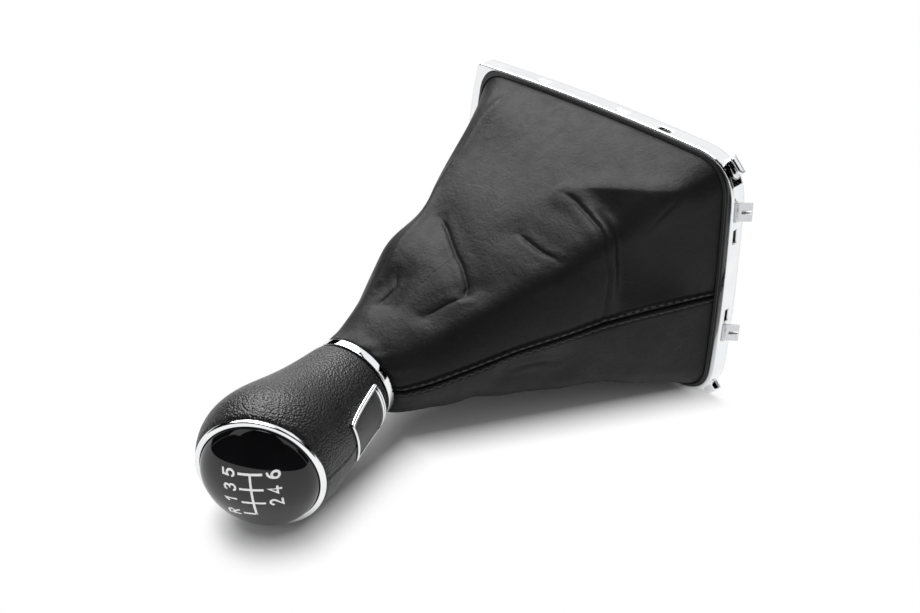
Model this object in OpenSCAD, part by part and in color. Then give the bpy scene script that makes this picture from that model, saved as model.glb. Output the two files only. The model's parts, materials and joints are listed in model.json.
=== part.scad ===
// Gear shift knob with its leather gaiter and chrome console bezel.
// +Z up, +Y towards the front of the car, +X towards its right side.
// The bezel stands on its lower edge at z = 0.

/* [Bezel] */
// Width of the bezel across the car, between its corners
bezel_w = 113.6; // [108:0.2:122]
// Length of the bezel between its front and rear corners
bezel_l = 143; // [135:1:155]
// Height of the bezel
bezel_h = 7; // [6.6:0.2:10]
// Thickness of the bezel's wall and top
bezel_wall = 1.1; // [0.9:0.1:1.2]
// How far the front edge bows forward
front_bow = 9.5; // [3:0.5:12]
// How far each side edge bows outward
side_bow = 2.1; // [0.5:0.1:3]
// How far the rear edge bows outward
rear_bow = 1.7; // [0.5:0.1:3]
// Radius of the rear corners
rear_corner_r = 18; // [12:1:24]
// Radius of the front corners
front_corner_r = 2.5; // [2:0.5:5]
// Width of the chrome border at the rear
rear_border = 3.2; // [2:0.1:4]
// Width of the chrome border at the sides
side_border = 1.2; // [1.2:0.1:4]
// Width of the chrome border at the front
front_border = 4.5; // [3:0.5:8]
// Width of the hooks at the front edge
hook_w = 10; // [6:1:14]
// How far the hooks reach forward
hook_reach = 3; // [2:0.5:4]
// Thickness of the hooks
hook_t = 1.4; // [1:0.1:1.8]
// Distance between the two front hooks
hook_pitch = 56; // [40:2:70]
// Width of the locating lugs at the rear corners
lug_w = 8; // [5:1:10]
// How far the locating lugs reach outward
lug_reach = 3.6; // [2:0.2:5]

/* [Snap windows] */
// Length of each window in the bezel's wall
window_w = 6; // [4:0.2:6.4]
// Height of each window
window_h = 2.4; // [1.6:0.2:2.6]
// Depth of the windows' middle below the bezel's top
window_drop = 2.6; // [2.5:0.1:3]
// Wall between the right-hand clip and the rear window beside it
window_gap_right = 4.1; // [1.4:0.1:8]
// Wall between the left-hand clip and the rear window beside it
window_gap_left = 1.4; // [1.4:0.1:5]
// Distance of the side windows from the bezel's rear end
side_window_in = 36.5; // [26:0.5:50]
// Distance of the first side dent from the bezel's rear end
dent_low_in = 59.5; // [54:0.5:70]
// Distance of the second side dent from the bezel's rear end
dent_high_in = 104.5; // [90:0.5:112]
// Depth of the dents in the side walls
dent_d = 0.4; // [0.2:0.1:0.6]

/* [Spring clips] */
// Width of the sheet-steel clips
clip_w = 8; // [5:0.5:9]
// Thickness of the clip sheet
clip_t = 0.8; // [0.5:0.1:1]
// How far the clips flare out from the wall
clip_reach = 4.8; // [4:0.2:6]
// Distance from the right-hand clip's middle to the start of the rear corner
clip_in_right = 2.8; // [2:0.1:6]
// Distance from the left-hand clip's middle to the start of the rear corner
clip_in_left = 17.8; // [6:0.1:18]
// Radius of the dimple hole in each clip
dimple_r = 0.8; // [0.5:0.1:1.2]

/* [Gaiter frame] */
// Width of the black lip around the leather
lip_w = 1.4; // [1:0.1:2]
// Height of the lip above the bezel's top
lip_h = 0.7; // [0.4:0.1:1.2]
// Width of the gaiter frame inside the leather's edge
frame_rim = 4; // [3:0.5:6]
// Height of the gaiter frame's foot above the bezel's lower edge
frame_foot = 1; // [0.6:0.2:1.6]

/* [Gaiter] */
// Thickness of the leather
leather_t = 1.2; // [0.8:0.1:1.8]
// Fullness of the gaiter's right side, higher hugs the lever more
taper_right = 1.7; // [1:0.1:2.4]
// Fullness of the gaiter's left side
taper_left = 1.0; // [0.8:0.1:2.4]
// Fullness of the gaiter's front
taper_front = 1.55; // [1:0.1:2.4]
// Fullness of the gaiter's rear
taper_rear = 0.8; // [0.7:0.1:2.4]
// How far the leather hangs in halfway up, on the right side
hang_right = 5; // [0:0.5:8]
// How far the leather hangs in halfway up, on the left side
hang_left = -0.5; // [-2:0.5:6]
// How far the leather hangs in halfway up, at the front
hang_front = 2.5; // [-2:0.5:6]
// How far the leather hangs in halfway up, at the rear
hang_rear = 7; // [0:0.5:9]
// How deep the folds of the leather are
fold_depth = 2.6; // [0:0.2:4]
// Height of the gaiter from the bezel to the collar
gaiter_h = 125.6; // [110:1:140]
// How far the gaiter's neck stands to the left
neck_left = 21.8; // [10:1:25]
// How far the gaiter's neck stands forward of the bezel's middle
neck_fore = 11.4; // [0:0.2:16]
// How far the neck leans rearward, in degrees
neck_lean = 15.4; // [5:1:22]
// How far the neck leans to the left, in degrees
neck_side = 5.1; // [0:1:10]
// Radius of the leather where it meets the collar
neck_r = 18.2; // [17.7:0.1:18.4]

/* [Collar] */
// Outer radius of the chrome collar
collar_r = 18.9; // [18.6:0.1:20]
// Height of the chrome collar
collar_h = 3.4; // [3.4:0.1:5]
// Thickness of the collar's wall
collar_wall = 1.4; // [1:0.1:1.6]

/* [Knob] */
// Rise of the cap's middle above the collar
knob_rise = 59.1; // [54:0.1:64]
// How far the cap's middle stands behind the collar
knob_back = 19.6; // [14:0.1:24]
// How far the cap's middle stands left of the collar
knob_out = 1.3; // [0:0.1:4]
// How far the cap leans rearward, in degrees
cap_lean = 38; // [32:0.5:44]
// Straight run of the knob's spine out of the collar
spine_low = 29.5; // [18:0.5:34]
// Straight run of the knob's spine into the cap
spine_high = 19; // [12:0.5:26]
// How far the leather stands out beyond the cap ring
head_step = 0.6; // [0.4:0.1:2]
// How far the leather stays inside the collar's edge
foot_step = 0.3; // [0:0.1:0.6]
// Fullness of the knob's belly
belly = 8.4; // [5:0.2:12]
// How far the belly sits towards the cap, 1 is in the middle
belly_high = 1.7; // [1:0.1:2.4]
// How late the knob widens above the collar, 1 is evenly
widening = 0.58; // [0.5:0.02:1]
// Thickness of the leather skin
skin_t = 1.6; // [1:0.1:2.2]

/* [Cap] */
// Outer radius of the chrome cap ring
ring_r = 24.6; // [24:0.1:25]
// Width of the chrome cap ring
ring_w = 1.9; // [1.2:0.1:2.6]
// Height of the cap ring above the leather
ring_h = 2.0; // [1.2:0.1:3]
// Height of the domed cap above the ring's seat
dome_h = 13.4; // [6:0.2:16]
// How far the cap carrier's plug stays inside the dome's edge
plug_in = 2.7; // [1.2:0.1:4]
// Depth of the cap carrier's plug
plug_h = 5; // [3:0.5:8]

/* [Shift pattern] */
// Distance between the gates
gate_pitch = 6.1; // [5:0.05:6.6]
// Length of a gate
gate_l = 9; // [7:0.1:11]
// Width of the lines
line_w = 0.85; // [0.5:0.05:1.4]
// How far the pattern's middle gate stands right of the cap's middle
pattern_x = 4.2; // [2:0.1:6]
// How far the pattern's middle stands behind the cap's middle
pattern_back = 1.5; // [0:0.05:4]
// How far the pattern is turned on the cap, in degrees
pattern_turn = 1.1; // [0:0.1:8]
// Thickness of the inlay
line_t = 0.2; // [0.1:0.05:0.4]

/* [Badge] */
// Half angle of the badge at the collar, in degrees
badge_wide = 34; // [24:1:38]
// Half angle of the badge towards the cap, in degrees
badge_narrow = 21.5; // [16:1:26]
// Where the badge starts on the spine, as a share of it
badge_start = 0.05; // [0.03:0.01:0.1]
// Where the badge ends on the spine, as a share of it
badge_end = 0.475; // [0.4:0.005:0.56]
// Width of the badge's frame
badge_rim = 1.9; // [1:0.1:2.4]
// Height of the badge's frame above the leather
badge_t = 1.0; // [0.6:0.1:1.6]
// Height of the plate inside the badge's frame
plate_t = 0.5; // [0.3:0.1:0.8]

/* [Lever sleeve] */
// Radius of the bore for the gear lever
bore_r = 6.2; // [5:0.1:7]
// Wall of the sleeve below the collar
sleeve_wall = 2.6; // [2:0.1:3.2]
// Radius of the sleeve's flange inside the collar
flange_r = 14.2; // [12:0.1:14.4]
// Length of the sleeve below the collar
sleeve_low = 22; // [18:1:28]
// Length of the sleeve above the collar
sleeve_high = 26; // [18:1:30]
// Width of the slots in the sleeve's lower end
sleeve_slot = 2; // [1:0.2:3]
// Width of the clamp band
clamp_w = 7; // [5:0.5:9]
// Thickness of the clamp band
clamp_t = 0.8; // [0.6:0.1:1.2]
// Width of the tie that holds the gaiter's neck
tie_w = 2.0; // [1.6:0.1:2.1]
// Thickness of the tie
tie_t = 1.0; // [0.8:0.1:1.1]

/* [Fits] */
// Clearance between pieces that are pressed or snapped together
snug = 0.1; // [0.05:0.01:0.15]
// Clearance between the gaiter and the knob's pieces
free_gap = 0.3; // [0.3:0.05:0.5]

/* [Hidden] */
$fn = 96;
through = 1;

// Colours
chrome = [0.86, 0.87, 0.88];
black_leather = [0.07, 0.07, 0.08];
skin_black = [0.1, 0.1, 0.11];
black_plastic = [0.05, 0.05, 0.05];
gloss_black = [0.02, 0.02, 0.02];
steel = [0.7, 0.72, 0.74];
white_print = [0.95, 0.95, 0.95];
badge_grey = [0.2, 0.2, 0.22];

// Half sizes of the bezel, and the shift that centres the whole part on the origin
half_w = bezel_w / 2;
half_l = bezel_l / 2;
clip_right_x = half_w - rear_corner_r - clip_in_right;
clip_left_x = rear_corner_r + clip_in_left - half_w;
window_rear_right = clip_right_x - (clip_w + window_w) / 2 - window_gap_right;
window_rear_left = clip_left_x + (clip_w + window_w) / 2 + window_gap_left;
function bow_at(x, bow) = bow * (1 - pow(x / half_w, 2));
hook_y = half_l + bow_at(hook_pitch / 2, front_bow);
hook_turn = atan(front_bow * hook_pitch / pow(half_w, 2));
clip_y = min(wall_y(clip_left_x), wall_y(clip_right_x));
hook_tip = hook_reach * cos(hook_turn) + hook_w / 2 * sin(hook_turn);
front_reach = max(half_l + front_bow, hook_y + hook_tip);
rear_reach = -clip_y + clip_reach;
y_mid = (rear_reach - front_reach) / 2;
module placed() translate([0, y_mid, 0]) children();

// Vector helpers
function unit(v) = v / norm(v);
function mix(a, b, t) = a * (1 - t) + b * t;
function smooth(t) = t * t * (3 - 2 * t);
function bezier(p, t) = p[0] * pow(1 - t, 3) + p[1] * 3 * pow(1 - t, 2) * t
  + p[2] * 3 * (1 - t) * t * t + p[3] * pow(t, 3);
function side_of(n) = unit([1, 0, 0] - n * n[0]);

// Outline of the bezel, drawn inward by d at the sides, rear and front
function corner_cut(a, c, b, r, n) = [for (i = [0:n])
  let (t = i / n, p = c + unit(a - c) * r, q = c + unit(b - c) * r)
    p * pow(1 - t, 2) + c * 2 * t * (1 - t) + q * t * t];
function bowed(p, bow) = [
  p[0] + sign(p[0]) * bow[0] * max(0, 1 - pow(p[1] / half_l, 2)) * min(1, abs(p[0]) / half_w),
  p[1] + (p[1] > 0 ? bow[2] : -bow[1]) * max(0, 1 - pow(p[0] / half_w, 2)) * min(1, abs(p[1]) / half_l)];
function edge_run(a, b, n) = [for (i = [1:n - 1]) a + (b - a) * i / n];
function outline(ds, dr, df) =
  let (x = half_w - ds, yr = -half_l + dr, yf = half_l - df,
    rr = max(3, rear_corner_r - dr), rf = max(1.5, front_corner_r + df * 1.6),
    fr = [x, yf], fl = [-x, yf], bl = [-x, yr], br = [x, yr],
    c1 = corner_cut(br, fr, fl, rf, 6), c2 = corner_cut(fr, fl, bl, rf, 6),
    c3 = corner_cut(fl, bl, br, rr, 8), c4 = corner_cut(bl, br, fr, rr, 8),
    flat = concat(c1, edge_run(c1[6], c2[0], 10), c2, edge_run(c2[6], c3[0], 10),
      c3, edge_run(c3[8], c4[0], 10), c4, edge_run(c4[8], c1[0], 10)))
  [for (p = flat) bowed(p, [side_bow, rear_bow, front_bow])];

// Offsets of the nested outlines from the bezel's edge: side, rear, front
lip_in = [side_border, rear_border, front_border];
leather_in = lip_in + [lip_w, lip_w, lip_w];
rim_in = leather_in + [frame_rim, frame_rim, frame_rim];
wall_in = [bezel_wall, bezel_wall, bezel_wall];
module ring_slab(outer, inner, z0, z1) translate([0, 0, z0]) difference() {
  linear_extrude(z1 - z0) polygon(outline(outer[0], outer[1], outer[2]));
  translate([0, 0, -through]) linear_extrude(z1 - z0 + 2 * through)
    polygon(outline(inner[0], inner[1], inner[2]));
}

// Snap windows and shallow dents: place and direction of each one
function wall_x(y) = half_w + side_bow * (1 - pow(y / half_l, 2));
function wall_y(x) = -half_l - rear_bow * (1 - pow(x / half_w, 2));
window_z = bezel_h - window_drop;
module at_windows() {
  for (x = [window_rear_right, window_rear_left]) translate([x, wall_y(x), window_z]) rotate(-90) children();
  at_sides(side_window_in) children();
}
module at_sides(d) let (y = d - half_l) for (s = [1, -1])
  translate([s * wall_x(y), y, window_z]) rotate(90 - 90 * s) children();

// Spring clips: a strip through a slit in the rear wall, flared outward below it
plate_z = bezel_h - bezel_wall;
slit_z = plate_z - clip_t - 2 * snug;
clip_top = slit_z + clip_t;
clip_drop = 0.3;
clip_xs = [clip_left_x, clip_right_x];
leg_gap = snug;

module bezel() color(chrome) placed() {
  difference() {
    union() {
      difference() {
        linear_extrude(bezel_h) polygon(outline(0, 0, 0));
        translate([0, 0, -through]) linear_extrude(plate_z + through)
          polygon(outline(wall_in[0], wall_in[1], wall_in[2]));
        linear_extrude(bezel_h + through) polygon(outline(lip_in[0], lip_in[1], lip_in[2]));
      }
      for (s = [1, -1]) front_hook(s);
      for (s = [1, -1]) corner_lug(s);
    }
    at_windows() cube([4 * bezel_wall, window_w, window_h], center = true);
    for (d = [dent_low_in, dent_high_in]) at_sides(d) cube([2 * dent_d, window_w, window_h], center = true);
    for (x = clip_xs) clip_slit(x);
  }
}
module front_hook(s) translate([s * hook_pitch / 2, hook_y, 0]) rotate(-s * hook_turn)
  translate([-hook_w / 2, -bezel_wall / 2, 0]) rotate([90, 0, 90]) linear_extrude(hook_w)
    polygon([[0, 0], [bezel_wall / 2 + hook_reach, hook_t], [bezel_wall / 2 + hook_reach, hook_t + hook_nose],
      [bezel_wall, hook_top], [0, hook_top]]);
hook_nose = 0.8;
hook_top = 2 * hook_t + 1;
lug_z0 = 1.2;
lug_h = 3;
lug_chamfer = 1.2;
lug_at = outline(0, 0, 0)[54];
module corner_lug(s) translate([s * lug_at[0], lug_at[1], 0]) rotate(s > 0 ? -45 : 225)
  translate([-bezel_wall / 2, -lug_w / 2, 0]) rotate([90, 0, 90]) linear_extrude(bezel_wall / 2 + lug_reach)
    translate([0, lug_z0]) polygon([[0, 0], [lug_w, 0], [lug_w, lug_h - lug_chamfer],
      [lug_w - lug_chamfer, lug_h], [lug_chamfer, lug_h], [0, lug_h - lug_chamfer]]);
module at_rear(x) translate([x, wall_y(x), 0]) rotate(atan(2 * rear_bow * x / pow(half_w, 2))) children();
module clip_slit(x) at_rear(x) translate([-clip_w / 2 - snug, -2 * bezel_wall, slit_z - snug])
  cube([clip_w + 2 * snug, 4 * bezel_wall, clip_t + 2 * snug]);

// Black frame that carries the leather inside the bezel
module gaiter_frame() color(black_plastic) placed() {
  difference() {
    ring_slab(wall_in + [1, 1, 1] * 1.5 * snug, rim_in, frame_foot, plate_z - snug);
    for (x = clip_xs) at_rear(x) translate([-clip_w / 2 - pocket_gap, 0, -through])
      cube([clip_w + 2 * pocket_gap, bezel_wall + 2 * clip_t + 1.2 * pocket_gap, bezel_h]);
  }
  ring_slab(lip_in + [1, 1, 1] * snug, rim_in, plate_z - snug, bezel_h);
  ring_slab(lip_in + [1, 1, 1] * snug, leather_in - [1, 1, 1] * snug, bezel_h, bezel_h + lip_h);
  at_windows() snap_prong();
}
pocket_gap = 1;
prong_w = window_w - 4 * snug;
prong_h = window_h - 4 * snug;
prong_root = 1.2;
prong_tip = 0.6;
prong_l = bezel_wall + prong_root / 2;
module snap_prong() translate([-bezel_wall - prong_root, 0, 0]) rotate([90, 0, 0])
  translate([0, 0, -prong_w / 2]) linear_extrude(prong_w)
    polygon([[0, -prong_h / 2], [prong_l, prong_h / 2 - prong_tip], [prong_l, prong_h / 2],
      [0, prong_h / 2]]);

// Sheet-steel spring clip in the plane of its bend
module clip(x) color(steel) placed() at_rear(x) translate([-clip_w / 2, 0, 0]) difference() {
  rotate([90, 0, 90]) linear_extrude(clip_w) polygon(clip_profile());
  translate([clip_w / 2, -clip_reach / 2 - clip_t, (clip_knee + clip_drop) / 2])
    rotate([-45, 0, 0]) cylinder(r = dimple_r, h = 4, center = true, $fn = 24);
}
clip_knee = slit_z - 0.6;
in_leg = bezel_wall + leg_gap;
function clip_profile() = [
  [in_leg + clip_t, frame_foot], [in_leg + clip_t, clip_top], [-clip_t - leg_gap, clip_top],
  [-clip_t - leg_gap, clip_knee], [-clip_reach, clip_drop + 0.5], [-clip_reach + 0.5, clip_drop],
  [-leg_gap, clip_knee - 0.3], [-leg_gap, slit_z], [in_leg, slit_z], [in_leg, frame_foot]];
module clip_rear_right() clip(clip_right_x);
module clip_rear_left() clip(clip_left_x);

// Collar and cap planes
neck_up = unit([-sin(neck_side), -sin(neck_lean), cos(neck_lean)]);
cap_up = [0, -sin(cap_lean), cos(cap_lean)];
collar_c = [-neck_left, neck_fore, bezel_h + gaiter_h];
cap_c = collar_c + [-knob_out, -knob_back, knob_rise];
module on_axis(c, n) placed() translate(c) rotate(a = acos(n[2]), v = [-n[1], n[0], 0]) children();

// Gaiter: a loft from the leather's outline to the round neck
base_c = [0, 0, bezel_h];
spine_knee = [3, -2, bezel_h + 0.45 * gaiter_h];
neck_run = 12;
neck_gap = free_gap + leather_t;
gaiter_spine = [base_c, spine_knee, collar_c - neck_up * neck_run, collar_c - neck_up * neck_gap];
base_out = outline(leather_in[0], leather_in[1], leather_in[2]);
base_w = half_w - leather_in[0];
base_f = half_l - leather_in[2];
base_r = half_l - leather_in[1];
base_n = len(base_out);
gaiter_rows = 26;
function base_unit(p) = [p[0] / base_w, p[1] / (p[1] > 0 ? base_f : base_r)];
function reach(b, t, e, hang) = neck_r + (b - neck_r) * pow(1 - t, e) - hang * sin(180 * t);
// Each fold: angle and height where it starts, angle and height where it ends, width, depth
folds = [
  [30, 0.38, 352, 0.52, 5, -1], [352, 0.52, 345, 0.72, 5, -0.7], [36, 0.1, 58, 0.26, 8, 0.8],
  [352, 0.35, 322, 0.36, 5, -0.8], [356, 0.22, 305, 0.28, 6, -1], [304, 0.28, 275, 0.3, 6, -0.7],
  [345, 0.2, 318, 0.15, 7, 0.7], [22, 0.6, 12, 0.68, 6, -0.8], [246, 0.4, 250, 0.52, 8, -0.8],
  [140, 0.2, 165, 0.34, 8, -1], [185, 0.3, 215, 0.24, 8, -1], [120, 0.45, 160, 0.55, 7, -0.8],
  [200, 0.5, 220, 0.6, 7, -0.7],
  [55, 0.5, 110, 0.56, 15, 2.1]];
function turn(a) = a > 180 ? a - 360 : a < -180 ? a + 360 : a;
function fold_at(f, a, t, r) =
  let (k = r * PI / 180, u = [turn(f[2] - f[0]) * k, (f[3] - f[1]) * gaiter_h],
    p = [turn(a - f[0]) * k, (t - f[1]) * gaiter_h],
    s = min(1, max(0, (p * u) / (u * u))), d = norm(p - u * s))
  f[5] * fold_depth * exp(-pow(d / f[4], 2));
function fold_sum(a, t, r, i = 0) = i == len(folds) ? 0
  : fold_at(folds[i], a, t, r) + fold_sum(a, t, r, i + 1);
function gaiter_point(i, t, inner) =
  let (b = base_unit(base_out[i]), a = (atan2(b[1], b[0]) + 360) % 360, m = pow(1 - t, 1.4),
    c = [cos(a), sin(a)], s = b * m + c * (1 - m),
    rx = s[0] > 0 ? reach(base_w, t, taper_right, hang_right) : reach(base_w, t, taper_left, hang_left),
    ry = s[1] > 0 ? reach(base_f, t, taper_front, hang_front) : reach(base_r, t, taper_rear, hang_rear),
    w = smooth(t), n = unit(mix([0, 0, 1], neck_up, w)), x = side_of(n), y = cross(n, x),
    f = fold_sum(a, t, (rx + ry) / 2) * min(1, t * 12) * min(1, (1 - t) * 12),
    d = unit(x * s[0] + y * s[1]))
  bezier(gaiter_spine, t) + x * s[0] * rx + y * s[1] * ry + d * (f - (inner ? leather_t : 0));
// Rings that turn the neck in under the collar and up to the tie
seat_r = flange_r + free_gap + leather_t;
tie_z0 = 0.6;
tie_z1 = tie_z0 + tie_w + 0.2;
function tuck_point(i, k, inner) =
  let (b = base_unit(base_out[i]), a = atan2(b[1], b[0]), x = side_of(neck_up), y = cross(neck_up, x),
    r = seat_r - (inner ? leather_t : 0), z = k == 0 ? -free_gap - (inner ? leather_t : 0) : tie_z1)
  collar_c + neck_up * z + (x * cos(a) + y * sin(a)) * r;
function gaiter_column(i) = concat(
  [for (k = [0:gaiter_rows]) gaiter_point(i, k / gaiter_rows, false)],
  [tuck_point(i, 0, false), tuck_point(i, 1, false), tuck_point(i, 1, true), tuck_point(i, 0, true)],
  [for (k = [gaiter_rows:-1:0]) gaiter_point(i, k / gaiter_rows, true)]);
// A closed strip of leather from column a to column b of the base outline
module leather_strip(a, b) {
  columns = [for (i = [a:b]) gaiter_column(i % base_n)];
  m = len(columns[0]);
  last = len(columns) - 1;
  faces = concat(
    [for (i = [0:last - 1], k = [0:m - 1]) let (j = (k + 1) % m)
      [i * m + k, i * m + j, (i + 1) * m + j]],
    [for (i = [0:last - 1], k = [0:m - 1]) let (j = (k + 1) % m)
      [i * m + k, (i + 1) * m + j, (i + 1) * m + k]],
    [for (k = [0:m / 2 - 2]) [m - 1 - k, m - 2 - k, k]],
    [for (k = [0:m / 2 - 2]) [k, m - 2 - k, k + 1]],
    [for (k = [0:m / 2 - 2]) [last * m + k, last * m + m - 2 - k, last * m + m - 1 - k]],
    [for (k = [0:m / 2 - 2]) [last * m + k + 1, last * m + m - 2 - k, last * m + k]]);
  polyhedron([for (c = columns) each c], faces, convexity = 8);
}
// Columns of the outline where the front and the rear seam run
front_col = 11;
rear_col = 45;
module gaiter_panel_left() color(black_leather) placed() leather_strip(front_col, rear_col);
module gaiter_panel_right() color(black_leather) placed() leather_strip(rear_col, front_col + base_n);

// Knob: a loft along a curved spine from the collar to the cap ring
ring_z = -ring_h * 0.6;
knob_spine = [collar_c + neck_up * collar_h, collar_c + neck_up * (collar_h + spine_low),
  cap_c + cap_up * (ring_z - spine_high), cap_c + cap_up * ring_z];
knob_rows = 14;
knob_cols = 40;
foot_r = collar_r - foot_step;
head_r = ring_r + head_step;
function belly_at(t) = belly * sin(180 * t) * pow(t, belly_high);
function knob_r(t) = foot_r + (head_r - foot_r) * pow(t, widening) + belly_at(t);
function knob_point(a, t, d) =
  let (n = unit(mix(neck_up, cap_up, smooth(t))), x = side_of(n), y = cross(n, x))
  bezier(knob_spine, t) + (x * cos(a) + y * sin(a)) * (knob_r(t) + d);
function knob_ring(t, d) = [for (j = [0:knob_cols - 1]) knob_point(j * 360 / knob_cols, t, d)];
module lofted_tube(rings) {
  n = knob_cols;
  m = len(rings);
  polyhedron([for (r = rings) each r], concat(
    [for (i = [0:m - 1], j = [0:n - 1]) let (k = (i + 1) % m, l = (j + 1) % n)
      [i * n + j, k * n + j, k * n + l]],
    [for (i = [0:m - 1], j = [0:n - 1]) let (k = (i + 1) % m, l = (j + 1) % n)
      [i * n + j, k * n + l, i * n + l]]), convexity = 6);
}
module lofted_solid(rings) {
  n = knob_cols;
  m = len(rings);
  polyhedron([for (r = rings) each r], concat(
    [for (i = [0:m - 2], j = [0:n - 1]) let (l = (j + 1) % n) [i * n + j, (i + 1) * n + j, (i + 1) * n + l]],
    [for (i = [0:m - 2], j = [0:n - 1]) let (l = (j + 1) % n) [i * n + j, (i + 1) * n + l, i * n + l]],
    [[for (j = [0:n - 1]) j], [for (j = [n - 1:-1:0]) (m - 1) * n + j]]), convexity = 6);
}
module knob_skin() color(skin_black) placed() lofted_tube(concat(
  [for (i = [0:knob_rows]) knob_ring(i / knob_rows, 0)],
  [for (i = [knob_rows:-1:0]) knob_ring(i / knob_rows, -skin_t)]));
core_cut = skin_t + snug;
dome_r = ring_r - ring_w;
plug_r = dome_r - plug_in;
sleeve_r = bore_r + sleeve_wall;
module knob_core() color(black_plastic) difference() {
  placed() lofted_solid([for (i = [0:knob_rows]) knob_ring(i / knob_rows, -core_cut)]);
  on_axis(collar_c, neck_up) translate([0, 0, collar_h - through])
    cylinder(r = sleeve_r + snug, h = sleeve_high - collar_h + through + snug);
  on_axis(cap_c, cap_up) translate([0, 0, ring_z - plug_h - snug])
    cylinder(r = plug_r + snug, h = plug_h + through + 2 * snug);
}

// Chrome collar round the gaiter's tie
module collar_ring() color(chrome) on_axis(collar_c, neck_up) rotate_extrude() polygon([
  [collar_r - collar_wall, 0], [collar_r - collar_round, 0], [collar_r, collar_round],
  [collar_r, collar_h - snug - collar_round], [collar_r - collar_round, collar_h - snug],
  [collar_r - collar_wall, collar_h - snug]]);
collar_round = 0.5;

// Sleeve that takes the gear lever, slotted at its lower end
module lever_sleeve() color(black_plastic) on_axis(collar_c, neck_up) difference() {
  rotate_extrude() polygon([
    [bore_r, -sleeve_low], [sleeve_r - lead_in, -sleeve_low], [sleeve_r, -sleeve_low + lead_in],
    [sleeve_r, flange_z - flange_t], [flange_r - lead_in, flange_z], [flange_r, flange_z],
    [flange_r, collar_h - snug],
    [sleeve_r, collar_h - snug], [sleeve_r, sleeve_high], [bore_r, sleeve_high]]);
  for (a = [0, 90]) rotate(a) translate([-sleeve_r - through, -sleeve_slot / 2, -sleeve_low - through])
    cube([2 * sleeve_r + 2 * through, sleeve_slot, slot_l + through]);
}
lead_in = 0.7;
flange_z = -1;
flange_t = 3;
slot_l = 7;
clamp_z = -sleeve_low + slot_l + 2.5;
clamp_in = sleeve_r + snug;
ear_w = 4;
ear_l = 2.6;
module sleeve_clamp() color(steel) on_axis(collar_c, neck_up) translate([0, 0, clamp_z]) {
  difference() {
    union() {
      cylinder(r = clamp_in + clamp_t, h = clamp_w);
      translate([clamp_in, -ear_w / 2, 0]) cube([clamp_t + ear_l, ear_w, clamp_w]);
    }
    translate([0, 0, -through]) cylinder(r = clamp_in, h = clamp_w + 2 * through);
    translate([clamp_in + clamp_t, -ear_w / 2 + clamp_t, -through])
      cube([ear_l - clamp_t, ear_w - 2 * clamp_t, clamp_w + 2 * through]);
  }
}
tie_in = seat_r + free_gap;
module gaiter_tie() color(black_plastic) on_axis(collar_c, neck_up) translate([0, 0, tie_z0])
  difference() {
    cylinder(r = tie_in + tie_t, h = tie_w);
    translate([0, 0, -through]) cylinder(r = tie_in, h = tie_w + 2 * through);
  }

// Cap: carrier plug, chrome ring, glossy dome and the gate lines
carrier_t = 1;
module cap_carrier() color(black_plastic) on_axis(cap_c, cap_up) {
  translate([0, 0, ring_z - plug_h]) cylinder(r = plug_r, h = plug_h);
  translate([0, 0, ring_z]) cylinder(r = dome_r - snug, h = carrier_t);
}
module cap_ring() color(chrome) on_axis(cap_c, cap_up) translate([0, 0, ring_z]) rotate_extrude()
  polygon([[dome_r, 0], [ring_r, 0], [ring_r + ring_bulge, ring_h * 0.3],
    [ring_r + ring_bulge, ring_h * 0.6], [ring_r - ring_bulge, ring_h * 0.9],
    [ring_r - ring_w / 2, ring_h], [dome_r, ring_h * 0.9]]);
ring_bulge = 0.25;
dome_z = ring_z + carrier_t;
dome_steps = 16;
module dome_cut(grow) translate([0, 0, dome_z]) rotate_extrude() polygon(concat([[0, 0]],
  [for (i = [0:dome_steps]) let (a = 90 * i / dome_steps)
    [i == dome_steps ? 0 : (dome_r - snug + grow) * cos(a), (dome_h + grow) * sin(a)]]));
module cap_dome() color(gloss_black) on_axis(cap_c, cap_up) dome_cut(0);
// Gate lines of a six-speed pattern with reverse at the left
module bar(x, y, w, h) translate([x - w / 2, y - h / 2]) square([w, h]);
module gate_lines() rotate(pattern_turn) translate([pattern_x, -pattern_back]) {
  for (i = [-1, 0, 1]) bar(i * gate_pitch, 0, line_w, gate_l);
  bar(-gate_pitch / 2, 0, 3 * gate_pitch + line_w, line_w);
  bar(-2 * gate_pitch, gate_l / 4, line_w, gate_l / 2 + line_w);
}
module shift_pattern() color(white_print) on_axis(cap_c, cap_up) difference() {
  intersection() {
    dome_cut(line_t);
    translate([0, 0, dome_z]) linear_extrude(dome_h + 2) gate_lines();
  }
  dome_cut(0);
}

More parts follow.
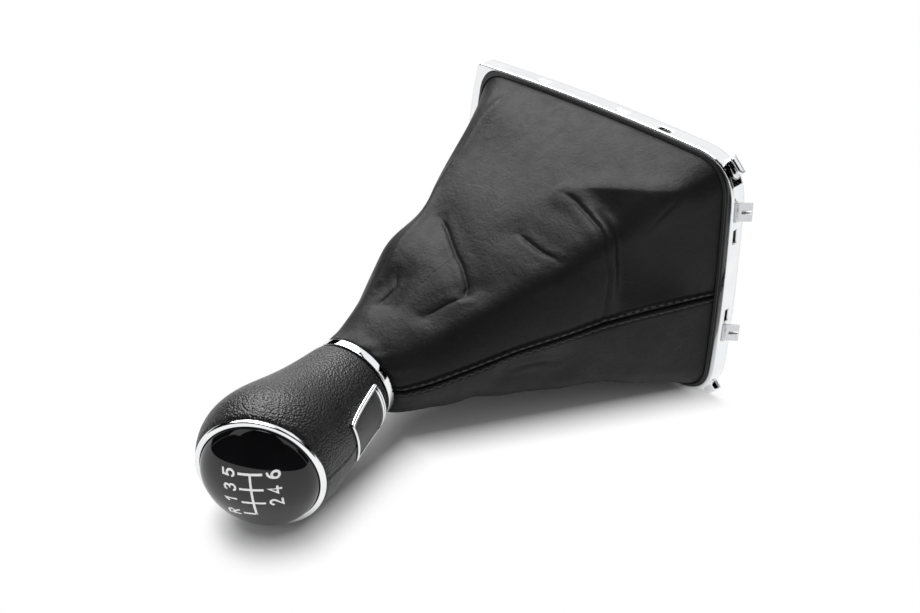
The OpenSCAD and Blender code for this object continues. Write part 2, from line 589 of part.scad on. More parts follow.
// Badge: a bare plate in a chrome frame, both following the knob's rear
badge_rows = 8;
badge_cols = 10;
rear_angle = 269;
function badge_point(u, v, d, inset) =
  let (t = mix(badge_start, badge_end, v) + inset * (1 - 2 * v) / spine_l,
    h = mix(badge_wide, badge_narrow, v) - inset / knob_r(t) * 180 / PI)
  knob_point(rear_angle + h * u, t, d);
spine_l = norm(knob_spine[3] - knob_spine[0]);
module badge_patch(low, high, inset) {
  n = badge_cols + 1;
  m = badge_rows + 1;
  k = n * m;
  function grid(d) = [for (j = [0:badge_rows], i = [0:badge_cols])
    badge_point(2 * i / badge_cols - 1, j / badge_rows, d, inset)];
  rim = concat([for (i = [0:n - 1]) i], [for (j = [1:m - 1]) j * n + n - 1],
    [for (i = [n - 2:-1:0]) (m - 1) * n + i], [for (j = [m - 2:-1:1]) j * n]);
  r = len(rim);
  polyhedron(concat(grid(low), grid(high)), concat(
    [for (j = [0:m - 2], i = [0:n - 2]) let (p = j * n + i) [p, p + 1, p + n + 1]],
    [for (j = [0:m - 2], i = [0:n - 2]) let (p = j * n + i) [p, p + n + 1, p + n]],
    [for (j = [0:m - 2], i = [0:n - 2]) let (p = k + j * n + i) [p, p + n + 1, p + 1]],
    [for (j = [0:m - 2], i = [0:n - 2]) let (p = k + j * n + i) [p, p + n, p + n + 1]],
    [for (i = [0:r - 1]) let (a = rim[i], b = rim[(i + 1) % r]) [a, k + a, k + b]],
    [for (i = [0:r - 1]) let (a = rim[i], b = rim[(i + 1) % r]) [a, k + b, b]]), convexity = 6);
}
badge_gap = 0.15;
module badge_frame() color(chrome) placed() difference() {
  badge_patch(badge_gap, badge_t, 0);
  badge_patch(-through, badge_t + through, badge_rim);
}
module badge_plate() color(badge_grey) placed() badge_patch(badge_gap, plate_t, badge_rim + snug);

bezel();
gaiter_frame();
gaiter_panel_right();
gaiter_panel_left();
clip_rear_right();
clip_rear_left();
collar_ring();
knob_core();
knob_skin();
badge_frame();
badge_plate();
lever_sleeve();
sleeve_clamp();
gaiter_tie();
cap_carrier();
cap_ring();
cap_dome();
shift_pattern();
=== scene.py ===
import math
import bmesh
import bpy
import numpy as np
from mathutils import Matrix, Vector
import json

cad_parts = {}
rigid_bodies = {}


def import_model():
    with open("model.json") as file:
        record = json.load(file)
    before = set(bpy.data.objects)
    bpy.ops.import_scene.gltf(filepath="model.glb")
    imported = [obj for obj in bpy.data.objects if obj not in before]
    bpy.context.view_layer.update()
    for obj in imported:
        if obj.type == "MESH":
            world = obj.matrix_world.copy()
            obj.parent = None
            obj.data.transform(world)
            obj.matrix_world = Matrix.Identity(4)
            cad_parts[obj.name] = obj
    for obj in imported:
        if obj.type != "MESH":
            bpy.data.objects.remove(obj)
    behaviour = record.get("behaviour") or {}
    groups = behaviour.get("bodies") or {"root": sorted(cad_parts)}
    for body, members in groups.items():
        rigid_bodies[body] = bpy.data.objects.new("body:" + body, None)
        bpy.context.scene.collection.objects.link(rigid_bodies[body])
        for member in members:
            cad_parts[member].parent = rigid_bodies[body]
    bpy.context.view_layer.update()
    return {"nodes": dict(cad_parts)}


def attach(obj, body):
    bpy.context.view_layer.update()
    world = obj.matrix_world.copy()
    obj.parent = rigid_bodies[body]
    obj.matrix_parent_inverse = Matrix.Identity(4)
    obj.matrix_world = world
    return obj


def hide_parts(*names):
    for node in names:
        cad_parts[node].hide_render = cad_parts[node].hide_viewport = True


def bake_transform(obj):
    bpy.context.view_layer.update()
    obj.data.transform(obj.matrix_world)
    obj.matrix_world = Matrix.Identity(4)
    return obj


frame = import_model()
nodes = frame["nodes"]
MM = 0.001
# Keeps a division off zero
TINY = 1e-9

# Sizes of the CAD part in mm, the same named values as in its source
BEZEL_W, BEZEL_L, BEZEL_H = 113.6, 143.0, 7.0
FRONT_BOW, SIDE_BOW, REAR_BOW = 9.5, 2.1, 1.7
REAR_CORNER, FRONT_CORNER = 18.0, 2.5
# The gaiter frame's lip: how far inside the outline it lies at the sides, the rear and the front; its width
LIP_IN, LIP_W = np.array([1.2, 3.2, 4.5]), 1.4
LEATHER_T, FREE_GAP = 1.2, 0.3
TAPER = {"right": 1.7, "left": 1.0, "front": 1.55, "rear": 0.8}
HANG = {"right": 5.0, "left": -0.5, "front": 2.5, "rear": 7.0}
FOLD_DEPTH, GAITER_H = 2.6, 125.6
NECK_LEFT, NECK_FORE, NECK_LEAN, NECK_SIDE, NECK_R = 21.8, 11.4, 15.4, 5.1, 18.2
COLLAR_R, COLLAR_H, COLLAR_WALL = 18.9, 3.4, 1.4
KNOB_RISE, KNOB_BACK, KNOB_OUT, CAP_LEAN = 59.1, 19.6, 1.3, 38.0
SPINE_LOW, SPINE_HIGH, HEAD_R = 29.5, 19.0, 25.2
BELLY, BELLY_HIGH, WIDENING = 8.4, 1.7, 0.58
RING_R, RING_W, RING_H, DOME_H = 24.6, 1.9, 2.0, 13.4
GATE_PITCH, GATE_L, LINE_W = 6.1, 9.0, 0.85
PATTERN_X, PATTERN_Y, PATTERN_TURN = 4.2, -1.5, 1.1
BADGE_WIDE, BADGE_NARROW, BADGE_START, BADGE_END, BADGE_RIM = 34.0, 21.5, 0.05, 0.475, 1.9
FLANGE_R = 14.2
# Where the bezel's own zero lies along Y in the frame
Y_MID = -2.349
HALF_W, HALF_L = BEZEL_W / 2, BEZEL_L / 2
# How much of the cap ring's height lies below the cap's zero
RING_SINK = 0.6


def unit(v):
    v = np.asarray(v, float)
    return v / np.linalg.norm(v, axis=-1, keepdims=True)


def sind(a):
    return np.sin(np.radians(a))


def cosd(a):
    return np.cos(np.radians(a))


NECK_UP = unit([-sind(NECK_SIDE), -sind(NECK_LEAN), cosd(NECK_LEAN)])
CAP_UP = np.array([0, -sind(CAP_LEAN), cosd(CAP_LEAN)])
COLLAR_C = np.array([-NECK_LEFT, NECK_FORE + Y_MID, BEZEL_H + GAITER_H])
CAP_C = COLLAR_C + np.array([-KNOB_OUT, -KNOB_BACK, KNOB_RISE])


def axes_of(n):
    """Side and fore directions in the plane across n, for one normal or an array of them."""
    n = np.asarray(n, float)
    x = unit(np.array([1.0, 0, 0]) - n * n[..., :1])
    return x, np.cross(n, x)


def turned_axes(n):
    """The X and Y axes after the shortest turn that brings Z onto n, as the CAD's cap pieces lie."""
    k = 1 / (1 + n[2])
    x = np.array([1 - n[0] * n[0] * k, -n[0] * n[1] * k, -n[0]])
    return x, np.cross(n, x)


def bezier(p, t):
    """Points at shares t of the cubic curve with the four points p."""
    t = np.asarray(t, float)[..., None]
    return p[0] * (1 - t) ** 3 + p[1] * 3 * (1 - t) ** 2 * t + p[2] * 3 * (1 - t) * t * t + p[3] * t ** 3


def smooth(t):
    """Runs from 0 to 1 with level ends."""
    return t * t * (3 - 2 * t)


def bell(x, width):
    """1 where x is 0, fading away over the width on both sides."""
    return np.exp(-(x / width) ** 2)


def fade_ends(h, t, rate):
    """h, brought to nothing over a 1 / rate share of the height t at both ends."""
    return h * np.minimum(1, t * rate) * np.minimum(1, (1 - t) * rate)


def turn(a):
    """The same angle in degrees, from -180 to 180."""
    return (a + 180) % 360 - 180


# ---- meshes ----
def place(name, data):
    """A new object with this data, in the scene."""
    ob = bpy.data.objects.new(name, data)
    bpy.context.scene.collection.objects.link(ob)
    return ob


def mesh_object(name, verts, faces):
    """A smooth-shaded object of points in mm, with its normals outwards."""
    me = bpy.data.meshes.new(name)
    me.from_pydata([tuple(v) for v in np.asarray(verts) * MM], [], faces)
    me.update()
    bm = bmesh.new()
    bm.from_mesh(me)
    bmesh.ops.recalc_face_normals(bm, faces=bm.faces)
    bm.to_mesh(me)
    bm.free()
    me.polygons.foreach_set("use_smooth", [True] * len(me.polygons))
    return place(name, me)


def grid_faces(nr, nc, start=0, close=False):
    """Quads of a grid of nr rows and nc columns; with close the last column joins the first."""
    out = []
    for i in range(nr - 1):
        low, high = start + i * nc, start + (i + 1) * nc
        for j in range(nc if close else nc - 1):
            k = (j + 1) % nc
            out.append((low + j, low + k, high + k, high + j))
    return out


def end_faces(nr, nc, start=0):
    """One face over the first row and one over the last row of a grid that closes on itself."""
    top = start + (nr - 1) * nc
    return [tuple(range(start, start + nc)), tuple(range(top, top + nc))]


def shell(name, outer, inner):
    """A closed solid between two grids of the same size, whose columns close on themselves."""
    nr, nc = outer.shape[:2]
    o, top = nr * nc, (nr - 1) * nc
    faces = grid_faces(nr, nc, 0, True) + grid_faces(nr, nc, o, True)
    for j in range(nc):
        k = (j + 1) % nc
        faces.append((j, k, o + k, o + j))
        faces.append((top + j, top + k, o + top + k, o + top + j))
    return mesh_object(name, np.concatenate([outer.reshape(-1, 3), inner.reshape(-1, 3)]), faces)


def sheet_shell(name, outer, inner, step):
    """A closed sheet: a fine outer grid, and an inner grid that holds every step-th of its rows and columns."""
    nr, nc = outer.shape[:2]
    mr, mc = inner.shape[:2]
    o = nr * nc
    faces = grid_faces(nr, nc) + grid_faces(mr, mc, o)
    for row, low in ((0, 0), (nr - 1, mr - 1)):
        for k in range(mc - 1):
            fine = [row * nc + k * step + j for j in range(step, -1, -1)]
            faces.append((o + low * mc + k, o + low * mc + k + 1, *fine))
    for col, low in ((0, 0), (nc - 1, mc - 1)):
        for k in range(mr - 1):
            fine = [(k * step + j) * nc + col for j in range(step, -1, -1)]
            faces.append((o + k * mc + low, o + (k + 1) * mc + low, *fine))
    return mesh_object(name, np.concatenate([outer.reshape(-1, 3), inner.reshape(-1, 3)]), faces)


def revolve(name, profile, c, n, count=180, closed=True):
    """A ring or cap turned about the axis n through c; profile is a list of (radius, height)."""
    x, y = axes_of(n)
    a = np.linspace(0, 2 * np.pi, count, endpoint=False)
    verts, faces, index = [], [], []
    for r, z in profile:
        if r < TINY:
            index.append([len(verts)])
            verts.append(c + n * z)
        else:
            index.append(list(range(len(verts), len(verts) + count)))
            verts += list(c + n * z + (np.outer(np.cos(a), x) + np.outer(np.sin(a), y)) * r)
    for i in range(len(profile) if closed else len(profile) - 1):
        p, q = index[i], index[(i + 1) % len(profile)]
        if len(p) == 1 and len(q) == 1:
            continue
        for j in range(count):
            k = (j + 1) % count
            if len(p) == 1:
                faces.append((p[0], q[j], q[k]))
            elif len(q) == 1:
                faces.append((p[j], p[k], q[0]))
            else:
                faces.append((p[j], p[k], q[k], q[j]))
    return mesh_object(name, np.array(verts), faces)


# The most of an edge that the rounding of one corner takes
EDGE_SHARE = 0.45


def corner_cut(a, c, b, r, n):
    """Points of the arc that cuts the corner c between a and b, which starts and ends r away from it."""
    p, q = c + unit(a - c) * r, c + unit(b - c) * r
    return [p * (1 - i / n) ** 2 + c * 2 * (i / n) * (1 - i / n) + q * (i / n) ** 2 for i in range(n + 1)]


def rounded(points, radius, steps=5):
    """A closed profile with each corner cut by a small arc."""
    pts = [np.array(p, float) for p in points]
    out = []
    for i, p in enumerate(pts):
        a, b = pts[i - 1], pts[(i + 1) % len(pts)]
        r = min(radius, EDGE_SHARE * np.linalg.norm(a - p), EDGE_SHARE * np.linalg.norm(b - p))
        out += corner_cut(a, p, b, r, steps)
    return out


# ---- outline of the bezel and of what nests in it ----
# Least radius of the rear and the front corners, and how fast the front ones grow with the inset
REAR_LEAST, FRONT_LEAST, FRONT_GROWTH = 3, 1.5, 1.6


def outline(inset, n_corner=12, n_run=24):
    """The bowed outline, moved in by the inset at the sides, the rear and the front."""
    ds, dr, df = inset
    x, yr, yf = HALF_W - ds, -HALF_L + dr, HALF_L - df
    rr, rf = max(REAR_LEAST, REAR_CORNER - dr), max(FRONT_LEAST, FRONT_CORNER + df * FRONT_GROWTH)
    fr, fl, bl, br = (np.array(p) for p in ((x, yf), (-x, yf), (-x, yr), (x, yr)))
    corners = [(br, fr, fl, rf), (fr, fl, bl, rf), (fl, bl, br, rr), (bl, br, fr, rr)]
    cuts = [corner_cut(a, c, b, r, n_corner) for a, c, b, r in corners]
    flat = []
    for i, cut in enumerate(cuts):
        flat += cut
        a, b = cut[-1], cuts[(i + 1) % 4][0]
        flat += [a + (b - a) * k / n_run for k in range(1, n_run)]
    p = np.array(flat)
    sx = np.sign(p[:, 0]) * SIDE_BOW * np.clip(1 - (p[:, 1] / HALF_L) ** 2, 0, None)
    sx *= np.minimum(1, np.abs(p[:, 0]) / HALF_W)
    bow = np.where(p[:, 1] > 0, FRONT_BOW, -REAR_BOW)
    sy = bow * np.clip(1 - (p[:, 0] / HALF_W) ** 2, 0, None) * np.minimum(1, np.abs(p[:, 1]) / HALF_L)
    return p + np.stack([sx, sy], 1)


def closed_curve(points, s):
    """Points at shares s of the length of a closed line."""
    p = np.concatenate([points, points[:1]])
    d = np.concatenate([[0], np.cumsum(np.linalg.norm(np.diff(p, axis=0), axis=1))])
    s = (np.asarray(s) % 1.0) * d[-1]
    return np.stack([np.interp(s, d, p[:, k]) for k in range(p.shape[1])], -1)


# ---- gaiter ----
LEATHER_IN = LIP_IN + LIP_W
BASE = outline(LEATHER_IN)
# Half width and half lengths of the leather's foot, to the front and to the rear
BASE_W, BASE_F, BASE_R = HALF_W - LEATHER_IN[0], HALF_L - LEATHER_IN[2], HALF_L - LEATHER_IN[1]
# The gaiter's middle line from the bezel to just under the collar, as in the CAD
GAITER_SPINE = [np.array([0, Y_MID, BEZEL_H]), np.array([3, -2 + Y_MID, BEZEL_H + 0.45 * GAITER_H]),
                COLLAR_C - NECK_UP * 12, COLLAR_C - NECK_UP * (FREE_GAP + LEATHER_T)]
# How fast the outline turns from the bezel's shape to the neck's circle, and how fast the folds fade at both ends
ROUNDING, FOLD_FADE = 1.4, 12
# Soft folds: angle and height where one starts and ends, width, depth
FOLDS = [(32, 0.382, 336, 0.522, 5, -0.8), (331, 0.546, 337, 0.672, 5, -0.6), (36, 0.1, 58, 0.26, 8, 0.8),
         (342, 0.344, 318, 0.35, 5, -0.5), (342, 0.218, 309, 0.258, 6, -0.2), (300, 0.254, 268, 0.28, 6, -0.4),
         (342, 0.212, 316, 0.1, 5, 0.6), (22, 0.6, 12, 0.68, 6, -0.8), (246, 0.4, 250, 0.52, 8, -0.8),
         (140, 0.2, 165, 0.34, 8, -1), (185, 0.3, 215, 0.24, 8, -1), (120, 0.45, 160, 0.55, 7, -0.8),
         (200, 0.5, 220, 0.6, 7, -0.7), (55, 0.5, 110, 0.56, 15, 2.1)]
# Sharp creases: path of (angle, height), depth of the line, swell on its sides, reach of the swell
CREASES = [([(32, 0.382), (22, 0.406), (10.6, 0.436), (351, 0.48), (336, 0.522), (331, 0.55)], 0.9, 0.35, 3.5),
           ([(331, 0.546), (335, 0.602), (337, 0.672)], 0.35, 0.3, 4.0),
           ([(342, 0.344), (334, 0.35), (326, 0.354), (317, 0.35)], 0.8, 0.25, 3.0),
           ([(342, 0.218), (335, 0.22), (327, 0.23), (321, 0.24), (316, 0.25), (309, 0.258), (300, 0.256),
             (282, 0.272), (268, 0.28)], 0.9, 0.3, 3.5),
           ([(28, 0.572), (21, 0.622), (22, 0.704)], 0.4, 0.3, 3.0),
           ([(309, 0.15), (312, 0.122), (314.5, 0.084)], 0.35, 0.2, 2.5),
           ([(246, 0.394), (249, 0.45), (250, 0.506)], 0.4, 0.4, 4.0)]
CREASE_W = 0.5
# The ends of a crease fade over so many mm, down to a share of its depth
PATH_FADE, PATH_LEAST = 4.0, 0.15
# The ridge between the right side and the front, with its height and width
RIDGE = [(35, 0.034), (37, 0.09), (39.5, 0.136), (41, 0.2), (44, 0.256), (46, 0.31), (40, 0.432), (35.5, 0.556),
         (37, 0.648)]
RIDGE_H, RIDGE_W = 0.9, 1.7
# The corner that lies flatter than its neighbours: where it starts at each height, and the angle where it ends
FLAT_T, FLAT_A = [0, 0.088, 0.124, 0.152, 0.182, 0.218, 0.26], [315, 316, 320, 327, 335, 343, 343]
FLAT_WIDE, FLAT_TO, FLAT_DEEP = 30.0, 266.0, 6.5
# Its upper edge, the crease along (angle, height), and how far below the edge it is full, starts to end and ends
EDGE_A, EDGE_T = [282, 300, 309, 316, 327, 335, 342], [0.272, 0.262, 0.258, 0.25, 0.23, 0.22, 0.216]
EDGE_FULL, EDGE_LAST, EDGE_RUN = 0.07, 0.06, 0.055


def path_distance(path, a, t, r):
    """Distance in mm from points at angle a and height t, at radius r, to a path of angles and heights."""
    k = r * np.pi / 180
    best = np.full(a.shape, np.inf)
    for (a0, t0), (a1, t1) in zip(path[:-1], path[1:]):
        ux, uy = turn(a1 - a0) * k, (t1 - t0) * GAITER_H
        px, py = turn(a - a0) * k, (t - t0) * GAITER_H
        s = np.clip((px * ux + py * uy) / (ux * ux + uy * uy + TINY), 0, 1)
        best = np.minimum(best, np.hypot(px - ux * s, py - uy * s))
    return best


def path_share(path, a, t, r):
    """1 along the middle of a path, and less towards its two ends."""
    k = np.pi / 180 * r
    ends = [np.hypot(turn(a - p[0]) * k, (t - p[1]) * GAITER_H) for p in (path[0], path[-1])]
    return np.clip(np.minimum(*ends) / PATH_FADE, PATH_LEAST, 1)


def flat_corner(a, t):
    """Depth in mm of the flattened corner at angle a and height t."""
    edge = np.interp(a, EDGE_A, EDGE_T)
    start = np.interp(t, FLAT_T, FLAT_A)
    mid = start - FLAT_WIDE
    across = np.clip(np.where(a > mid, (start - a) / FLAT_WIDE, (a - FLAT_TO) / (mid - FLAT_TO)), 0, 1)
    along = smooth(np.clip(t / (edge - EDGE_FULL), 0, 1))
    along = along * (1 - smooth(np.clip((t - edge + EDGE_LAST) / EDGE_RUN, 0, 1)))
    return FLAT_DEEP * across * (2 - across) * along


def reach(b, t, side):
    """Distance of one side from the spine: b at the foot and the neck's radius at the top."""
    return NECK_R + (b - NECK_R) * (1 - t) ** TAPER[side] - HANG[side] * np.sin(np.pi * t)


def foot(s):
    """Points of the leather's foot at shares s of its length, as shares of its half width and half lengths."""
    p = closed_curve(BASE, s)
    return np.stack([p[:, 0] / BASE_W, p[:, 1] / np.where(p[:, 1] > 0, BASE_F, BASE_R)], 1)


def gaiter_form(s, t):
    """Points of the leather's outer side with its soft folds, and their angles, heights and radii.

    s is the share of the foot's length, and t runs from the bezel to the neck.
    """
    b = foot(s)
    a = np.degrees(np.arctan2(b[:, 1], b[:, 0])) % 360
    A, T = np.meshgrid(a, t)
    m = (1 - T) ** ROUNDING
    sx, sy = b[None, :, 0] * m + cosd(A) * (1 - m), b[None, :, 1] * m + sind(A) * (1 - m)
    rx = np.where(sx > 0, reach(BASE_W, T, "right"), reach(BASE_W, T, "left"))
    ry = np.where(sy > 0, reach(BASE_F, T, "front"), reach(BASE_R, T, "rear"))
    w = smooth(T)[..., None]
    n = unit(np.array([0, 0, 1.0]) * (1 - w) + NECK_UP * w)
    x, y = axes_of(n)
    r = (rx + ry) / 2
    f = sum(deep * FOLD_DEPTH * bell(path_distance([(a0, t0), (a1, t1)], A, T, r), wide)
            for a0, t0, a1, t1, wide, deep in FOLDS)
    f = fade_ends(f, T, FOLD_FADE) - flat_corner(A, T)
    d = unit(x * sx[..., None] + y * sy[..., None])
    p = bezier(GAITER_SPINE, T) + x * (sx * rx)[..., None] + y * (sy * ry)[..., None] + d * f[..., None]
    return p, A, T, r


def grid_normals(p):
    return unit(np.cross(np.gradient(p, axis=1), np.gradient(p, axis=0)))


# The seam's groove, the swell beside it and the dip under the stitches: depth or height, and width of each
SEAM_DIP, SEAM_SWELL, ROW_DIP = 1.3, 0.5, 0.45
DIP_W, SWELL_W, ROW_W = 0.42, 0.9, 0.5
# Distance of the stitch row from the seam
SEAM_ROW = 2.7
# The swell on both sides of a crease: its middle and its width as shares of the crease's reach
SWELL_AT, SWELL_SHARE = 0.55, 0.5
# Slow unevenness of hand-pulled leather: height, fading at the ends, fixed start of its draws, count of waves
UNEVEN, UNEVEN_FADE, UNEVEN_SEED, WAVES = 0.6, 8, 7, 9
# Gathers at the neck: height, how many, their turn, where they start and over what share of the height
GATHER_H, GATHERS, GATHER_TURN, GATHER_FROM, GATHER_RUN = 0.22, 17, 0.7, 0.86, 0.14
# One turn in radians, to two decimals
ROUND = 6.28


def unevenness(a, t):
    """A few fixed waves round the gaiter and along it."""
    rng = np.random.default_rng(UNEVEN_SEED)
    out = np.zeros_like(a)
    for _ in range(WAVES):
        ka, kt = rng.integers(1, 7), rng.uniform(1.5, 7)
        high = rng.uniform(0.3, 1) / (0.6 + 0.25 * ka)
        out += high * np.sin(np.radians(a) * ka + kt * ROUND * t + rng.uniform(0, ROUND))
    return out / 4


def leather_sculpt(s, t):
    """The gaiter's surface with creases, seam grooves and slow unevenness, and its normals."""
    p, A, T, r = gaiter_form(s, t)
    n = grid_normals(p)
    if np.mean(np.sum(n * (p - bezier(GAITER_SPINE, T)), -1)) < 0:
        n = -n
    h = fade_ends(UNEVEN * unevenness(A, T), T, UNEVEN_FADE)
    for path, deep, swell, wide in CREASES:
        d = path_distance(path, A, T, r)
        form = swell * bell(d - wide * SWELL_AT, wide * SWELL_SHARE) - deep * bell(d, CREASE_W)
        h += path_share(path, A, T, r) * form
    h += path_share(RIDGE, A, T, r) * RIDGE_H * bell(path_distance(RIDGE, A, T, r), RIDGE_W)
    # Distance along the row from the nearer of this panel's two seams
    step = np.linalg.norm(np.diff(p, axis=1), axis=-1)
    run = np.concatenate([np.zeros((len(t), 1)), np.cumsum(step, 1)], 1)
    d = np.minimum(run, run[:, -1:] - run)
    h += SEAM_SWELL * bell(d - 0.5 * SEAM_ROW, SWELL_W) - SEAM_DIP * bell(d, DIP_W)
    h -= ROW_DIP * bell(d - SEAM_ROW, ROW_W)
    near_neck = np.clip((T - GATHER_FROM) / GATHER_RUN, 0, 1)
    h += GATHER_H * np.sin(np.radians(A) * GATHERS + GATHER_TURN) * near_neck
    return p + n * h[..., None], n


def share_nearest(xy):
    """Share of the foot's length at its point nearest to xy."""
    s = np.linspace(0, 1, 4000, endpoint=False)
    p = closed_curve(BASE, s)
    return s[np.argmin(np.linalg.norm(p - np.array(xy), axis=1))]


# The two seams, at the rear a little left of the middle and at the front
S_REAR = share_nearest((-4.0, -BASE_R - 1.5))
S_FRONT = share_nearest((0.0, BASE_F + 8))
# Rows of the fine side, columns of each panel, and every which row and column the inner side has
ROWS_T = np.linspace(0, 1, 277)
RIGHT_COLUMNS, LEFT_COLUMNS, INNER_STEP = 317, 201, 4
# Columns crowd at the seams and at the creases: how much more, over how many mm or degrees, and at what angle
FOOT_LENGTH = 480
SEAM_CROWD, SEAM_REACH = 2.2, 5
CREASE_CROWD, CREASE_ANGLE, CREASE_REACH = 0.9, -28, 38


def spaced(lo, hi, count):
    """Shares from lo to hi, crowded at both ends, where the seams are, and where the creases are."""
    s = np.linspace(lo, hi, 1500)
    p = closed_curve(BASE, s)
    a = np.degrees(np.arctan2(p[:, 1] / BASE_R, p[:, 0] / BASE_W))
    near = np.minimum(s - lo, hi - s) * FOOT_LENGTH
    w = 1 + SEAM_CROWD * bell(near, SEAM_REACH) + CREASE_CROWD * bell(a - CREASE_ANGLE, CREASE_REACH)
    run = np.concatenate([[0], np.cumsum((w[1:] + w[:-1]) / 2)])
    return np.interp(np.linspace(0, run[-1], count), run, s)


# The leather's seat round the sleeve, and the rows that lead to it: how far outside it, how far above the collar
SEAT_R = FLANGE_R + FREE_GAP + LEATHER_T
TUCK = ((0.9, -0.42), (0.2, -0.15), (0.0, 0.5), (0.0, 2.6))
# Leather between the two sides of a panel, and how far its foot stays above the bezel's plane
PANEL_T, FOOT_UP = LEATHER_T - 0.1, 0.02


def tuck_rows(s, inner):
    """Rows that carry the leather under the collar and up to the tie."""
    b = foot(s)
    a = np.degrees(np.arctan2(b[:, 1], b[:, 0]))
    x, y = axes_of(NECK_UP)
    rows = []
    for out, z in TUCK:
        ri = SEAT_R + out - (LEATHER_T if inner else 0)
        zi = z - (LEATHER_T if inner and z < 0 else 0)
        rows.append(COLLAR_C + NECK_UP * zi + (np.outer(cosd(a), x) + np.outer(sind(a), y)) * ri)
    return np.array(rows)


def gaiter_panel(name, lo, hi, count):
    """One leather panel between two seams, and the grid of its outer side."""
    s = spaced(lo, hi, count)
    outer, n = leather_sculpt(s, ROWS_T)
    inner = outer - n * PANEL_T
    inner[0, :, 2] = outer[0, :, 2] = BEZEL_H + FOOT_UP
    outer = np.concatenate([outer, tuck_rows(s, False)])
    inner = np.concatenate([inner, tuck_rows(s, True)])
    return sheet_shell(name, outer, inner[::INNER_STEP, ::INNER_STEP], INNER_STEP), outer


right_end = S_FRONT + 1 if S_FRONT < S_REAR else S_FRONT
left_start = S_FRONT if S_FRONT < S_REAR else S_FRONT - 1
gaiter_right, grid_right = gaiter_panel("gaiter_right", S_REAR, right_end, RIGHT_COLUMNS)
gaiter_left, grid_left = gaiter_panel("gaiter_left", left_start, S_REAR, LEFT_COLUMNS)

# Stitches: pitch, length and radius of one, how far its ends dip, how flat it is, and how far it stands out
STITCH_PITCH, STITCH_L, STITCH_R, STITCH_DIP, STITCH_FLAT, STITCH_OUT = 3.5, 2.6, 0.34, 0.42, 1.15, 0.16
# Distance of the first and the last stitch from the seam's ends
STITCH_FIRST, STITCH_LAST = 2.2, 1.5
# Columns of a panel's grid that hold the stitch row, and the two that give the leather's direction there
ROW_COLUMNS, SIDE_FROM, SIDE_TO = 60, 6, 14


def capsule(c, along, across, up, count=6, rings=5):
    """One stitch: a short rod with its ends bent down into the leather."""
    verts = []
    for i in range(rings):
        u = i / (rings - 1) * 2 - 1
        r = STITCH_R * math.sqrt(max(0.12, 1 - abs(u) ** 5))
        m = c + along * (u * STITCH_L / 2) - up * (STITCH_DIP * u ** 4)
        for k in range(count):
            t = 2 * math.pi * k / count
            verts.append(m + across * (math.cos(t) * r * STITCH_FLAT) + up * (math.sin(t) * r))
    return verts, grid_faces(rings, count, 0, True) + end_faces(rings, count)


def run_along(points):
    """Distance of each point of a line from its start."""
    return np.concatenate([[0], np.cumsum(np.linalg.norm(np.diff(points, axis=0), axis=1))])


def at_distance(d, run, points):
    return np.array([np.interp(d, run, points[:, q]) for q in range(3)])


def stitch_line(edge, verts, faces):
    """Stitches along the seam at the first column of a panel's grid."""
    line, side = [], []
    for row in edge[2:len(ROWS_T) - 2]:
        line.append(at_distance(SEAM_ROW, run_along(row[:ROW_COLUMNS]), row[:ROW_COLUMNS]))
        side.append(row[SIDE_TO] - row[SIDE_FROM])
    line, side = np.array(line), unit(np.array(side))
    go = unit(np.gradient(line, axis=0))
    run = run_along(line)
    centre = bezier(GAITER_SPINE, np.linspace(0, 1, len(ROWS_T))[2:-2])
    for d in np.arange(STITCH_FIRST, run[-1] - STITCH_LAST, STITCH_PITCH):
        c, g, s, m = (at_distance(d, run, v) for v in (line, go, side, centre))
        g, s = unit(g), unit(s)
        up = unit(np.cross(g, s))
        if up @ (c - m) < 0:
            up = -up
        v, f = capsule(c + up * STITCH_OUT, g, unit(np.cross(g, up)), up)
        faces += [tuple(len(verts) + q for q in x) for x in f]
        verts += v


stitch_verts, stitch_faces = [], []
for grid in (grid_right, grid_right[:, ::-1], grid_left, grid_left[:, ::-1]):
    stitch_line(grid, stitch_verts, stitch_faces)
gaiter_stitches = mesh_object("gaiter_stitches", np.array(stitch_verts), stitch_faces)

# ---- knob skin ----
KNOB_SPINE = [COLLAR_C + NECK_UP * COLLAR_H, COLLAR_C + NECK_UP * (COLLAR_H + SPINE_LOW),
              CAP_C - CAP_UP * (RING_H * RING_SINK + SPINE_HIGH), CAP_C - CAP_UP * RING_H * RING_SINK]
FOOT_R = COLLAR_R - 0.3
SKIN_T = 1.6
# The seam down the rear: its angle, depth and width, the swell beside it, and where it comes out of the badge
REAR_ANGLE, SKIN_DIP, SKIN_DIP_W = 269.0, 0.45, 0.45
SKIN_SWELL, SKIN_SWELL_AT, SKIN_SWELL_W = 0.12, 1.3, 0.8
SKIN_SEAM_FROM, SKIN_SEAM_RUN = 0.40, 0.02
# How deep the skin rolls in under the collar and under the cap ring, and over what share of the spine
ROLL_LOW, ROLL_HIGH, ROLL_W = 0.7, 0.5, 0.012
# Rows and columns of the skin, and how far in degrees the columns move towards the seam
SKIN_ROWS, SKIN_COLUMNS, SKIN_CROWD = 130, 240, 7


def knob_r(t):
    """Radius of the knob at share t of its spine."""
    t = np.clip(t, 0, 1)
    return FOOT_R + (HEAD_R - FOOT_R) * t ** WIDENING + BELLY * np.sin(np.pi * t) * t ** BELLY_HIGH


def knob_form(a, t, d):
    """Points on the knob at angle a in degrees, share t of the spine and d mm outside the leather."""
    w = smooth(np.clip(t, 0, 1))[..., None]
    n = unit(NECK_UP * (1 - w) + CAP_UP * w)
    x, y = axes_of(n)
    r = (knob_r(t) + d)[..., None]
    return bezier(KNOB_SPINE, t) + (x * cosd(a)[..., None] + y * sind(a)[..., None]) * r


